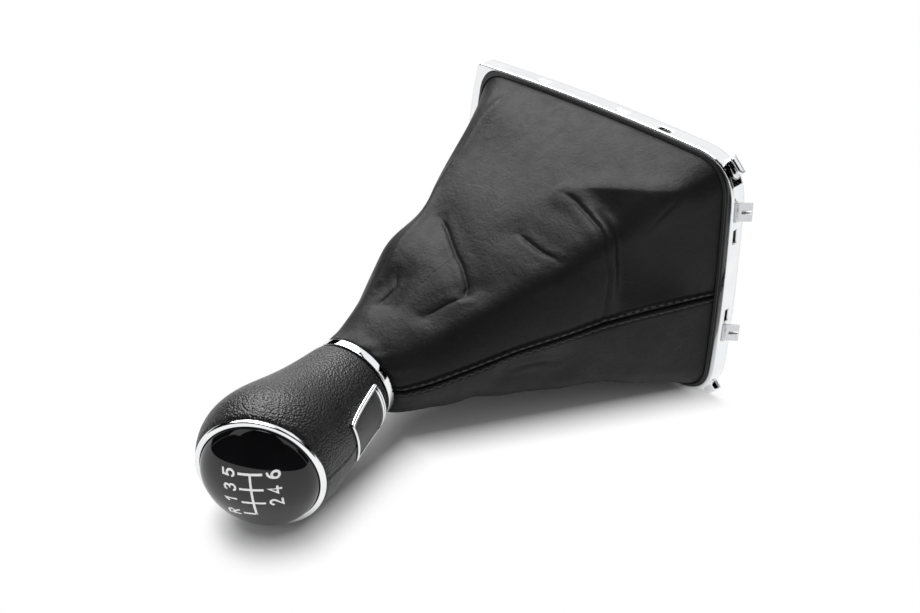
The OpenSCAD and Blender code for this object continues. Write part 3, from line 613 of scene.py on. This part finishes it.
def knob_skin():
    a = np.linspace(0, 360, SKIN_COLUMNS, endpoint=False)
    # Columns crowd round the rear seam
    a = a - SKIN_CROWD * sind(a - REAR_ANGLE)
    A, T = np.meshgrid(a, np.linspace(0, 1, SKIN_ROWS))
    seam = np.abs(turn(A - REAR_ANGLE)) * np.pi / 180 * knob_r(T)
    live = np.clip((T - SKIN_SEAM_FROM) / SKIN_SEAM_RUN, 0, 1)
    d = -SKIN_DIP * bell(seam, SKIN_DIP_W) * live + SKIN_SWELL * bell(seam - SKIN_SWELL_AT, SKIN_SWELL_W) * live
    d -= ROLL_LOW * bell(T, ROLL_W) + ROLL_HIGH * bell(1 - T, ROLL_W)
    return shell("knob_leather", knob_form(A, T, d), knob_form(A, T, -SKIN_T))


skin = knob_skin()

# ---- cap ----
RING_Z = -RING_H * RING_SINK
DOME_R = RING_R - RING_W
DOME_Z = RING_Z + 1.0
# How far inside the dome's edge its flat foot ends, and how far the chrome and the dome stay off their neighbours
DOME_FOOT, SNUG = 0.6, 0.1


def dome_profile(steps=48):
    """The dome's outer side from its top down, and its flat foot."""
    out = [(0.0, DOME_Z + DOME_H)]
    for i in range(steps - 1, -1, -1):
        a = 90 * i / steps
        out.append(((DOME_R - SNUG) * cosd(a), DOME_Z + DOME_H * sind(a)))
    return out + [(DOME_R - SNUG - DOME_FOOT, DOME_Z), (0.0, DOME_Z)]


dome = revolve("cap_gloss", dome_profile(), CAP_C, CAP_UP, 160, False)
# The ring's face bulges a little past the CAD's ring, and its inner edge rises over the dome's foot
ring_profile = rounded([(DOME_R, RING_Z), (RING_R + 0.15, RING_Z), (RING_R + 0.3, RING_Z + RING_H * 0.5),
                        (RING_R + 0.1, RING_Z + RING_H * 0.98), (DOME_R, RING_Z + RING_H * 1.12)], 0.45)
cap_ring = revolve("cap_bright_ring", ring_profile, CAP_C, CAP_UP)
collar_profile = rounded([(COLLAR_R - COLLAR_WALL, 0), (COLLAR_R, 0), (COLLAR_R, COLLAR_H - SNUG),
                          (COLLAR_R - COLLAR_WALL, COLLAR_H - SNUG)], 0.35)
collar = revolve("collar_bright_ring", collar_profile, COLLAR_C, NECK_UP)


def on_dome(x, y, lift):
    """Point of the dome's surface above the plane point x, y of the turned pattern, raised by lift."""
    q = np.clip(1 - (x * x + y * y) / (DOME_R - SNUG) ** 2, 0, 1)
    z = DOME_Z + DOME_H * np.sqrt(q) + lift
    ax, ay = turned_axes(CAP_UP)
    c, s = cosd(PATTERN_TURN), sind(PATTERN_TURN)
    ax, ay = ax * c + ay * s, ay * c - ax * s
    return CAP_C + np.multiply.outer(x, ax) + np.multiply.outer(y, ay) + np.multiply.outer(z, CAP_UP)


# The print in mm: how far lines and digits stand out, how deep the lines reach, and the cells they are cut in
LINE_RISE, PRINT_RISE, LINE_SINK, CELL, CELLS_TO = 0.14, 0.12, -0.15, 0.8, 22
# Least height and distance in mm that count while the lines are cut
LEVEL = 1e-6


def drape_on_dome(name, source, lift):
    """Cuts a flat mesh in mm into small cells and lays it on the dome."""
    bm = bmesh.new()
    bm.from_mesh(source)
    for axis in (0, 1):
        for k in np.arange(-CELLS_TO, CELLS_TO, CELL):
            co, no = [0, 0, 0], [0, 0, 0]
            co[axis], no[axis] = k, 1
            parts = bm.verts[:] + bm.edges[:] + bm.faces[:]
            bmesh.ops.bisect_plane(bm, geom=parts, plane_co=co, plane_no=no, dist=LEVEL)
    me = bpy.data.meshes.new(name)
    for v in bm.verts:
        v.co = Vector(on_dome(v.co.x, v.co.y, lift if v.co.z > LEVEL else LINE_SINK)) * MM
    bmesh.ops.recalc_face_normals(bm, faces=bm.faces)
    bm.to_mesh(me)
    bm.free()
    return place(name, me)


def arc(cx, cy, rx, ry, start, stop, count=14):
    return [(cx + rx * cosd(a), cy + ry * sind(a)) for a in np.linspace(start, stop, count)]


# Strokes of each sign in a box of height 1, drawn as plain round-ended lines
GLYPHS = {
    "1": [[(0.08, 0.74), (0.34, 1.0), (0.34, 0.0)]],
    "2": [arc(0.31, 0.72, 0.27, 0.28, 165, -38) + [(0.05, 0.0), (0.62, 0.0)]],
    "3": [arc(0.29, 0.77, 0.25, 0.23, 155, -80, 10) + arc(0.30, 0.28, 0.30, 0.28, 78, -152, 14)],
    "4": [[(0.46, 0.0), (0.46, 1.0), (0.02, 0.28), (0.66, 0.28)]],
    "5": [[(0.56, 1.0), (0.13, 1.0), (0.09, 0.57)] + arc(0.30, 0.32, 0.29, 0.32, 128, -148, 16)],
    "6": [arc(0.32, 0.31, 0.29, 0.31, -180, 180, 22),
          [(0.03, 0.31), (0.06, 0.55), (0.17, 0.80), (0.32, 0.95), (0.47, 1.0)]],
    "R": [[(0.06, 0.0), (0.06, 1.0), (0.34, 1.0)] + arc(0.34, 0.75, 0.25, 0.25, 90, -90, 9)[1:] + [(0.06, 0.5)],
          [(0.32, 0.5), (0.62, 0.0)]]}
# Height of a digit and width of its strokes in mm; how a stroke narrows past its ends, in widths
DIGIT_H, DIGIT_STROKE = 4.2, 0.88
STROKE_START, STROKE_END = ((-0.5, 0.35), (-0.35, 0.75)), ((0.35, 0.75), (0.5, 0.35))
SHARPEST_BEND = 0.55
# Where each digit lies on the dome
DIGITS = (("5", 10.2, 6.65), ("3", 4.45, 6.6), ("1", -1.45, 7.05), ("R", -8.1, 7.25),
          ("6", 9.95, -9.7), ("4", 3.95, -9.85), ("2", -1.55, -9.8))


def stroke_stations(p):
    """Middle, direction and width of a stroke along the points p, with rounded ends."""
    go = unit(np.gradient(p, axis=0) + TINY)
    out = [(p[0] + go[0] * k * DIGIT_STROKE, go[0], w) for k, w in STROKE_START]
    for i in range(len(p)):
        bend = 1.0
        if 0 < i < len(p) - 1:
            before, after = unit(p[i] - p[i - 1]), unit(p[i + 1] - p[i])
            bend = 1 / max(SHARPEST_BEND, math.sqrt((1 + before @ after) / 2))
            go[i] = unit(before + after)
        out.append((p[i], go[i], bend))
    return out + [(p[-1] + go[-1] * k * DIGIT_STROKE, go[-1], w) for k, w in STROKE_END]


def digit(name, text, x, y, sides=8):
    """A printed sign: flat round-ended strokes laid on the dome round the point x, y."""
    points = np.array([q for line in GLYPHS[text] for q in line])
    mid = (points.min(0) + points.max(0)) / 2
    verts, faces = [], []
    for line in GLYPHS[text]:
        stations = stroke_stations((np.array(line) - mid) * DIGIT_H + np.array([x, y]))
        faces += grid_faces(len(stations), sides, len(verts), True) + end_faces(len(stations), sides, len(verts))
        for c, g, w in stations:
            across = np.array([-g[1], g[0]])
            for k in range(sides):
                a = 2 * math.pi * k / sides
                q = c + across * (math.cos(a) * DIGIT_STROKE / 2 * w)
                verts.append(on_dome(q[0], q[1], PRINT_RISE * math.sin(a)))
    return mesh_object(name, np.array(verts), faces)


def flat_bars(bars):
    """A mesh of thin boxes, each given by its middle x, y, its width and its height."""
    bm = bmesh.new()
    for x, y, w, h in bars:
        verts = [bm.verts.new((x + sx * w / 2, y + sy * h / 2, z)) for z in (-0.05, 0.05)
                 for sx, sy in ((-1, -1), (1, -1), (1, 1), (-1, 1))]
        for f in ((0, 1, 2, 3), (4, 5, 6, 7), (0, 1, 5, 4), (1, 2, 6, 5), (2, 3, 7, 6), (3, 0, 4, 7)):
            bm.faces.new([verts[i] for i in f])
    me = bpy.data.meshes.new("bars")
    bm.to_mesh(me)
    bm.free()
    return me


# The gates, the line across them and the short one of reverse
bars = [(PATTERN_X + i * GATE_PITCH, PATTERN_Y, LINE_W, GATE_L) for i in (-1, 0, 1)]
bars += [(PATTERN_X - GATE_PITCH / 2, PATTERN_Y, 3 * GATE_PITCH + LINE_W, LINE_W)]
bars += [(PATTERN_X - 2 * GATE_PITCH, PATTERN_Y + GATE_L / 4, LINE_W, GATE_L / 2 + LINE_W)]
gate_lines = drape_on_dome("gate_lines", flat_bars(bars), LINE_RISE)
digits = [digit("digit_" + t, t, x, y) for t, x, y in DIGITS]

# ---- badge: chrome frame with a bare plate ----
# Radius of the knob under the badge in mm, and length of its spine over the straight line between its ends
BADGE_AT_R, SPINE_BOW = 20.5, 1.06
# The frame's section: how far inside its outline and how high above the leather, a bead and a border
FRAME_SECTION = [(0.0, 0.1), (0.0, 0.55), (0.12, 0.8), (0.35, 0.98), (0.6, 0.98), (0.74, 0.8), (0.8, 0.55),
                 (0.88, 0.55), (0.95, 0.8), (1.1, 1.02), (1.5, 1.02), (1.75, 0.9), (1.9, 0.6), (1.9, 0.1)]
# The plate: its height at the edge, how much higher its middle is, and the height of its underside
PLATE_UP, PLATE_BULGE, PLATE_FOOT = 0.5, 0.12, 0.15


def badge_loop(inset, count=28):
    """Closed line of (angle from the rear, share of the spine) round the badge, with rounded corners."""
    quad = [(-BADGE_WIDE, BADGE_START), (BADGE_WIDE, BADGE_START), (BADGE_NARROW, BADGE_END),
            (-BADGE_NARROW, BADGE_END)]
    length = np.linalg.norm(KNOB_SPINE[3] - KNOB_SPINE[0]) * SPINE_BOW
    k = np.pi / 180 * BADGE_AT_R
    pts = [np.array([a * k, t * length]) for a, t in quad]
    mid = sum(pts) / 4
    out = np.array([p + (q - p) * j / count for p, q in zip(pts, pts[1:] + pts[:1]) for j in range(count)])
    # Inset towards the middle, edge by edge
    edge = np.roll(out, -1, 0) - np.roll(out, 1, 0)
    nrm = unit(np.stack([edge[:, 1], -edge[:, 0]], 1))
    nrm *= np.sign(np.sum(nrm * (out - mid), 1))[:, None]
    out = out - nrm * inset
    for _ in range(3):
        out = (np.roll(out, 1, 0) + 2 * out + np.roll(out, -1, 0)) / 4
    return np.stack([out[:, 0] / k, out[:, 1] / length], 1)


def on_knob(p, lift):
    """Points of a badge line on the knob, raised by lift."""
    return knob_form(REAR_ANGLE + p[:, 0], p[:, 1], lift)


def badge_frame():
    grid = np.array([on_knob(badge_loop(inset), lift) for inset, lift in FRAME_SECTION])
    nr, nc = grid.shape[:2]
    faces = grid_faces(nr, nc, 0, True)
    for j in range(nc):
        k = (j + 1) % nc
        faces.append((j, k, (nr - 1) * nc + k, (nr - 1) * nc + j))
    return mesh_object("badge_bright_frame", grid.reshape(-1, 3), faces)


def badge_plate():
    p = badge_loop(BADGE_RIM - 0.1)
    mid = p.mean(0)
    grid = [on_knob(mid + (p - mid) * max(k, 0.002), PLATE_UP + PLATE_BULGE * (1 - k ** 4))
            for k in np.linspace(0, 1, 14)]
    grid = np.array(grid + [on_knob(p, PLATE_FOOT)])
    nr, nc = grid.shape[:2]
    faces = grid_faces(nr, nc, 0, True) + end_faces(nr, nc)
    return mesh_object("badge_bare_plate", grid.reshape(-1, 3), faces)


bright_frame = badge_frame()
bare_plate = badge_plate()


# ---- materials ----
def new_tree(block, output):
    """The emptied node tree of a material or world, and its new output node."""
    block.use_nodes = True
    nt = block.node_tree
    nt.nodes.clear()
    return nt, nt.nodes.new(output)


def material(name):
    m = bpy.data.materials.new(name)
    nt, out = new_tree(m, "ShaderNodeOutputMaterial")
    bsdf = nt.nodes.new("ShaderNodeBsdfPrincipled")
    nt.links.new(bsdf.outputs["BSDF"], out.inputs["Surface"])
    return m, nt, bsdf


def tex(nt, kind, scale, **kw):
    """A noise or cell texture in millimetres of the object."""
    n = nt.nodes.new({"noise": "ShaderNodeTexNoise", "cells": "ShaderNodeTexVoronoi"}[kind])
    co = nt.nodes.new("ShaderNodeTexCoord")
    mp = nt.nodes.new("ShaderNodeMapping")
    mp.inputs["Scale"].default_value = kw.pop("stretch", (1, 1, 1))
    nt.links.new(co.outputs["Object"], mp.inputs["Vector"])
    nt.links.new(mp.outputs["Vector"], n.inputs["Vector"])
    n.inputs["Scale"].default_value = scale
    for k, v in kw.items():
        if k in n.inputs:
            n.inputs[k].default_value = v
        else:
            setattr(n, k, v)
    return n


def ramp(nt, source, stops):
    """A colour ramp over the source; a stop is a position and a grey or a colour."""
    r = nt.nodes.new("ShaderNodeValToRGB")
    nt.links.new(source, r.inputs["Fac"])
    while len(r.color_ramp.elements) < len(stops):
        r.color_ramp.elements.new(0.5)
    for e, (pos, col) in zip(r.color_ramp.elements, stops):
        e.position = pos
        e.color = (*col, 1) if hasattr(col, "__len__") else (col, col, col, 1)
    return r.outputs["Color"]


def spread(nt, source, lo, hi, out_lo, out_hi):
    """The source's range from lo to hi, spread over out_lo to out_hi."""
    m = nt.nodes.new("ShaderNodeMapRange")
    nt.links.new(source, m.inputs["Value"])
    for k, v in zip(("From Min", "From Max", "To Min", "To Max"), (lo, hi, out_lo, out_hi)):
        m.inputs[k].default_value = v
    return m.outputs["Result"]


def bump(nt, height, strength, distance, before=None):
    """A bump on top of the normal from before; the distance is in metres."""
    b = nt.nodes.new("ShaderNodeBump")
    b.inputs["Strength"].default_value = strength
    b.inputs["Distance"].default_value = distance
    nt.links.new(height, b.inputs["Height"])
    if before is not None:
        nt.links.new(before, b.inputs["Normal"])
    return b.outputs["Normal"]


# The middle range of a texture's values
LOW, HIGH = 0.3, 0.7


def vary(nt, b, source, dark, light, rough_lo, rough_hi):
    """A shader's base colour and roughness, each between two values over one texture or its own of two."""
    colour, rough = source if isinstance(source, tuple) else (source, source)
    nt.links.new(ramp(nt, colour.outputs["Fac"], [(LOW, dark), (HIGH, light)]), b.inputs["Base Color"])
    nt.links.new(spread(nt, rough.outputs["Fac"], LOW, HIGH, rough_lo, rough_hi), b.inputs["Roughness"])


def chrome(name, edge=0.0):
    """Bright chrome; edge is how far the plating rounds a moulded part's edges, in metres."""
    m, nt, b = material(name)
    b.inputs["Metallic"].default_value = 1
    vary(nt, b, tex(nt, "noise", 90, Detail=3), (0.83, 0.84, 0.86), (0.9, 0.905, 0.91), 0.05, 0.1)
    fine = tex(nt, "noise", 1400, Detail=2)
    before = None
    if edge:
        soft = nt.nodes.new("ShaderNodeBevel")
        soft.samples = 8
        soft.inputs["Radius"].default_value = edge
        before = soft.outputs["Normal"]
    nt.links.new(bump(nt, fine.outputs["Fac"], 0.08, 0.00002, before), b.inputs["Normal"])
    return m


def gaiter_leather():
    m, nt, b = material("gaiter_leather")
    slow, wear = tex(nt, "noise", 28, Detail=4), tex(nt, "noise", 160, Detail=5, Roughness=0.65)
    vary(nt, b, (slow, wear), (0.007, 0.007, 0.0075), (0.012, 0.012, 0.013), 0.37, 0.5)
    b.inputs["Specular IOR Level"].default_value = 0.19
    pores = tex(nt, "cells", 1500, feature="DISTANCE_TO_EDGE")
    grain = tex(nt, "noise", 900, Detail=4, Roughness=0.6)
    pull = tex(nt, "noise", 150, Detail=5, Roughness=0.62, stretch=(1, 1, 1.5), Distortion=0.6)
    n = bump(nt, pull.outputs["Fac"], 0.35, 0.0008)
    n = bump(nt, grain.outputs["Fac"], 0.5, 0.0003, n)
    n = bump(nt, spread(nt, pores.outputs["Distance"], 0, 0.08, 0, 1), 0.25, 0.00008, n)
    nt.links.new(n, b.inputs["Normal"])
    return m


def knob_leather():
    m, nt, b = material("knob_leather")
    slow, wear = tex(nt, "noise", 40, Detail=3), tex(nt, "noise", 220, Detail=4)
    vary(nt, b, (slow, wear), (0.008, 0.008, 0.0085), (0.013, 0.013, 0.014), 0.3, 0.4)
    b.inputs["Specular IOR Level"].default_value = 0.48
    pebble = tex(nt, "cells", 1150, feature="SMOOTH_F1", Smoothness=0.35)
    fine = tex(nt, "noise", 2200, Detail=2)
    n = bump(nt, spread(nt, pebble.outputs["Distance"], 0, 0.75, 1, 0), 0.8, 0.0003)
    n = bump(nt, fine.outputs["Fac"], 0.2, 0.00008, n)
    nt.links.new(n, b.inputs["Normal"])
    return m


def plastic(name, dark, light, rough_lo, rough_hi, grain):
    """A plain coat of plastic, gloss, print or thread; grain is the strength of its fine bumps."""
    m, nt, b = material(name)
    vary(nt, b, tex(nt, "noise", 60, Detail=2), dark, light, rough_lo, rough_hi)
    if grain:
        g = tex(nt, "noise", 1800, Detail=2)
        nt.links.new(bump(nt, g.outputs["Fac"], grain, 0.00006), b.inputs["Normal"])
    return m


def steel():
    m, nt, b = material("plated_steel")
    b.inputs["Metallic"].default_value = 1
    brushed = tex(nt, "noise", 500, Detail=4, stretch=(1, 1, 8))
    vary(nt, b, brushed, (0.62, 0.63, 0.65), (0.74, 0.75, 0.77), 0.22, 0.34)
    nt.links.new(bump(nt, brushed.outputs["Fac"], 0.1, 0.00003), b.inputs["Normal"])
    return m


CHROME, MOULDED, STEEL = chrome("chrome"), chrome("chrome_moulded", 0.0016), steel()
LEATHER, SKIN = gaiter_leather(), knob_leather()
BLACK = plastic("black_plastic", (0.012, 0.012, 0.012), (0.02, 0.02, 0.02), 0.42, 0.55, 0.4)
GLOSS = plastic("gloss_black", (0.006, 0.006, 0.007), (0.009, 0.009, 0.01), 0.03, 0.05, 0)
PRINT = plastic("white_print", (0.92, 0.92, 0.92), (0.96, 0.96, 0.96), 0.3, 0.4, 0)
PLATE = plastic("badge_plate", (0.028, 0.028, 0.03), (0.04, 0.04, 0.042), 0.34, 0.42, 0.3)
THREAD = plastic("thread", (0.02, 0.02, 0.021), (0.035, 0.035, 0.037), 0.4, 0.55, 0.6)


def paint(ob, mat):
    ob.data.materials.clear()
    ob.data.materials.append(mat)


for name, mat in {"bezel": MOULDED, "gaiter_frame": BLACK, "clip_rear_right": STEEL, "clip_rear_left": STEEL,
                  "knob_core": BLACK, "lever_sleeve": BLACK, "sleeve_clamp": STEEL, "gaiter_tie": BLACK,
                  "cap_carrier": BLACK}.items():
    paint(nodes[name], mat)
for ob, mat, slot in ((gaiter_right, LEATHER, "gaiter_leather"), (gaiter_left, LEATHER, "gaiter_leather"),
                      (gaiter_stitches, THREAD, "gaiter_leather"), (skin, SKIN, "knob_leather"),
                      (dome, GLOSS, "gloss_black"), (cap_ring, CHROME, "chrome"), (collar, CHROME, "chrome"),
                      (gate_lines, PRINT, "white_print"), (bright_frame, CHROME, "chrome"),
                      (bare_plate, PLATE, "badge_grey"), *((ob, PRINT, "white_print") for ob in digits)):
    paint(ob, mat)

for ob in (skin, dome, cap_ring, collar, gate_lines, bright_frame, bare_plate, *digits):
    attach(ob, "knob")
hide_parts("gaiter_panel_right")
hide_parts("gaiter_panel_left")
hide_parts("knob_skin")
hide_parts("cap_dome")
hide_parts("cap_ring")
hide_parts("collar_ring")
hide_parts("shift_pattern")
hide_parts("badge_frame")
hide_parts("badge_plate")
# The leather panels and the stitches take their placement into their meshes
for ob in (gaiter_right, gaiter_left, gaiter_stitches):
    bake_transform(ob)

# ---- camera: the photograph's, fitted to the bezel, the collar and the cap ring ----
VIEW = np.array([[-0.034820568, -0.667827721, -0.743500950], [-0.824475748, -0.401261960, 0.399034560],
                 [-0.564824990, 0.626893112, -0.536635590]])
FIT_Y, FIT_Z = -2.05 + Y_MID, BEZEL_H
CAMERA_AT = np.array([264.257, -296.256 + FIT_Y, 333.879 + FIT_Z]) * MM
FOCAL_PX, PICTURE_W = 1163.0, 920.0
cam_data = bpy.data.cameras.new("camera")
cam = place("camera", cam_data)
cam_data.sensor_width = 36
cam_data.lens = FOCAL_PX / PICTURE_W * cam_data.sensor_width
cam_data.clip_start, cam_data.clip_end = 0.01, 20
turned = Matrix((VIEW[0], -VIEW[1], -VIEW[2])).transposed()
cam.matrix_world = Matrix.Translation(CAMERA_AT) @ turned.to_4x4()
bpy.context.scene.camera = cam
bpy.context.scene.view_settings.view_transform = "Standard"

# ---- studio ----
# The part lies on its left side in the photograph: the floor touches the bezel's left lower edge and the knob
FLOOR_UP = unit([1.0, 0, -0.0432])
FLOOR_AT = np.array([-HALF_W - SIDE_BOW - 0.1, Y_MID, 0]) * MM
FLOOR_SIZE, FLOOR_COLOUR = 8, 0.9
# Distances from the footprint in metres: the floor keeps its shadow up to the first and is white from the second
SHADOW_IN, SHADOW_OUT = -0.003, 0.019
# The object seen from above the floor, as two tapered strips: heights along Z, middles across Y, half widths
FOOTPRINTS = [((0.0, 0.120), (0.0, 0.008), (0.064, 0.013)), ((0.120, 0.184), (0.008, -0.002), (0.013, 0.018))]
# How much shorter the shadow is past the bezel's lower edge, which starts within so many metres
END_WEIGHT, END_SOFT = 5.0, 0.001
# How strongly the white surroundings light the object, and how bright they are in view and in reflections
SKY_LIGHT, SKY_SEEN = 0.4, 1.0


def math_node(nt, operation, a, b):
    """The result of a math node on two sockets or numbers."""
    n = nt.nodes.new("ShaderNodeMath")
    n.operation = operation
    for socket, v in zip(n.inputs, (a, b)):
        if isinstance(v, (int, float)):
            socket.default_value = v
        else:
            nt.links.new(v, socket)
    return n.outputs[0]


def seen_share(nt):
    """1 for rays from the camera, mirrors and glass, and 0 for the others."""
    rays = nt.nodes.new("ShaderNodeLightPath").outputs
    both = math_node(nt, "MAXIMUM", rays["Is Camera Ray"], rays["Is Glossy Ray"])
    return math_node(nt, "MAXIMUM", both, rays["Is Transmission Ray"])


world = bpy.data.worlds.new("studio")
bpy.context.scene.world = world
sky, sky_out = new_tree(world, "ShaderNodeOutputWorld")
white = sky.nodes.new("ShaderNodeBackground")
white.inputs["Color"].default_value = (1, 1, 1, 1)
sky.links.new(spread(sky, seen_share(sky), 0, 1, SKY_LIGHT, SKY_SEEN), white.inputs["Strength"])
sky.links.new(white.outputs["Background"], sky_out.inputs["Surface"])


def plane(name, centre, normal, height_along, w, h):
    """A flat card of the studio, in metres."""
    n = unit(normal)
    x = unit(np.cross(height_along, n))
    y = np.cross(n, x)
    c = np.asarray(centre, float)
    v = [c + x * sx * w / 2 + y * sy * h / 2 for sx, sy in ((-1, -1), (1, -1), (1, 1), (-1, 1))]
    me = bpy.data.meshes.new(name)
    me.from_pydata([tuple(p) for p in v], [], [(0, 1, 2, 3)])
    ob = place(name, me)
    return ob


def footprint(nt, y, z, span, middle, half):
    """Distance in metres of a floor point from one strip's edge."""
    dy = math_node(nt, "SUBTRACT", y, spread(nt, z, *span, *middle))
    dz = math_node(nt, "SUBTRACT", z, spread(nt, z, *span, *span))
    dz = math_node(nt, "MULTIPLY", dz, spread(nt, z, -END_SOFT, END_SOFT, END_WEIGHT, 1.0))
    squares = math_node(nt, "ADD", math_node(nt, "MULTIPLY", dy, dy), math_node(nt, "MULTIPLY", dz, dz))
    return math_node(nt, "SUBTRACT", math_node(nt, "POWER", squares, 0.5), spread(nt, z, *span, *half))


def mix_shader(nt, share, first, second):
    """A shader that goes from the first to the second with the share."""
    mix = nt.nodes.new("ShaderNodeMixShader")
    nt.links.new(share, mix.inputs["Fac"])
    nt.links.new(first.outputs[0], mix.inputs[1])
    nt.links.new(second.outputs[0], mix.inputs[2])
    return mix


def floor_material():
    """White floor: it keeps the shadow near the object, is plain white further out, and is clear from below."""
    m = bpy.data.materials.new("floor_white")
    nt, out = new_tree(m, "ShaderNodeOutputMaterial")
    kinds = ("ShaderNodeBsdfDiffuse", "ShaderNodeEmission", "ShaderNodeBsdfTransparent")
    dull, glow, clear = (nt.nodes.new(kind) for kind in kinds)
    dull.inputs["Color"].default_value = (FLOOR_COLOUR, FLOOR_COLOUR, FLOOR_COLOUR, 1)
    at = nt.nodes.new("ShaderNodeSeparateXYZ")
    nt.links.new(nt.nodes.new("ShaderNodeTexCoord").outputs["Object"], at.inputs[0])
    gaps = [footprint(nt, at.outputs["Y"], at.outputs["Z"], *strip) for strip in FOOTPRINTS]
    gap = math_node(nt, "MINIMUM", *gaps)
    far = spread(nt, gap, SHADOW_IN, SHADOW_OUT, 0.0, 1.0)
    top = mix_shader(nt, math_node(nt, "MULTIPLY", far, seen_share(nt)), dull, glow)
    below = nt.nodes.new("ShaderNodeNewGeometry").outputs["Backfacing"]
    nt.links.new(mix_shader(nt, below, top, clear).outputs[0], out.inputs["Surface"])
    return m


floor = plane("floor", FLOOR_AT, FLOOR_UP, (0, 1, 0), FLOOR_SIZE, FLOOR_SIZE)
paint(floor, floor_material())


def flag(name, centre, normal, height_along, w, h):
    """A black card of the studio that only reflections see."""
    ob = plane(name, centre, normal, height_along, w, h)
    m = bpy.data.materials.new(name)
    nt, out = new_tree(m, "ShaderNodeOutputMaterial")
    black = nt.nodes.new("ShaderNodeEmission")
    black.inputs["Color"].default_value = (0, 0, 0, 1)
    nt.links.new(black.outputs[0], out.inputs["Surface"])
    paint(ob, m)
    ob.visible_camera = False
    ob.visible_diffuse = False
    ob.visible_shadow = False


flag("flag_ahead", (1.2, 0.0, 1.6), (0, 0, -1), (1, 0, 0), 4.2, 2.6)
flag("flag_camera", (1.2, -1.7, 0.1), (0, 1, 0), (1, 0, 0), 3.2, 2.6)
flag("flag_above", (2.5, -0.4, 0.4), (-1, 0, 0), (0, 1, 0), 3.2, 3.0)
flag("flag_behind", (0.9, 2.2, 0.3), (0, -1, 0), (1, 0, 0), 2.6, 2.0)
flag("flag_low", (0.45, -1.05, -1.6), (0, 0, 1), (1, 0, 0), 1.2, 1.1)

# The dome is left out of the softboxes' light, so that only the cards and the white show in it
MIDDLE = np.array([-0.01, 0.0, 0.09])
lit = bpy.data.collections.new("lit_by_softboxes")


def softbox(name, away, w, h, power):
    """A rectangular lamp so far away from the object's middle, which it faces; metres and watts."""
    la = bpy.data.lights.new(name, "AREA")
    la.shape = "RECTANGLE"
    la.size, la.size_y, la.energy = w, h, power
    ob = place(name, la)
    ob.location = MIDDLE + np.array(away)
    ob.rotation_euler = (Vector(MIDDLE) - Vector(MIDDLE + np.array(away))).to_track_quat("-Z", "Y").to_euler()
    ob.light_linking.receiver_collection = lit


softbox("back_top", (0.85, 0.6, -0.2), 1.1, 0.7, 14)
softbox("above", (1.0, 0.05, 0.0), 0.5, 0.5, 4.5)
for ob in bpy.context.scene.objects:
    if ob.type == "MESH" and ob is not dome:
        lit.objects.link(ob)
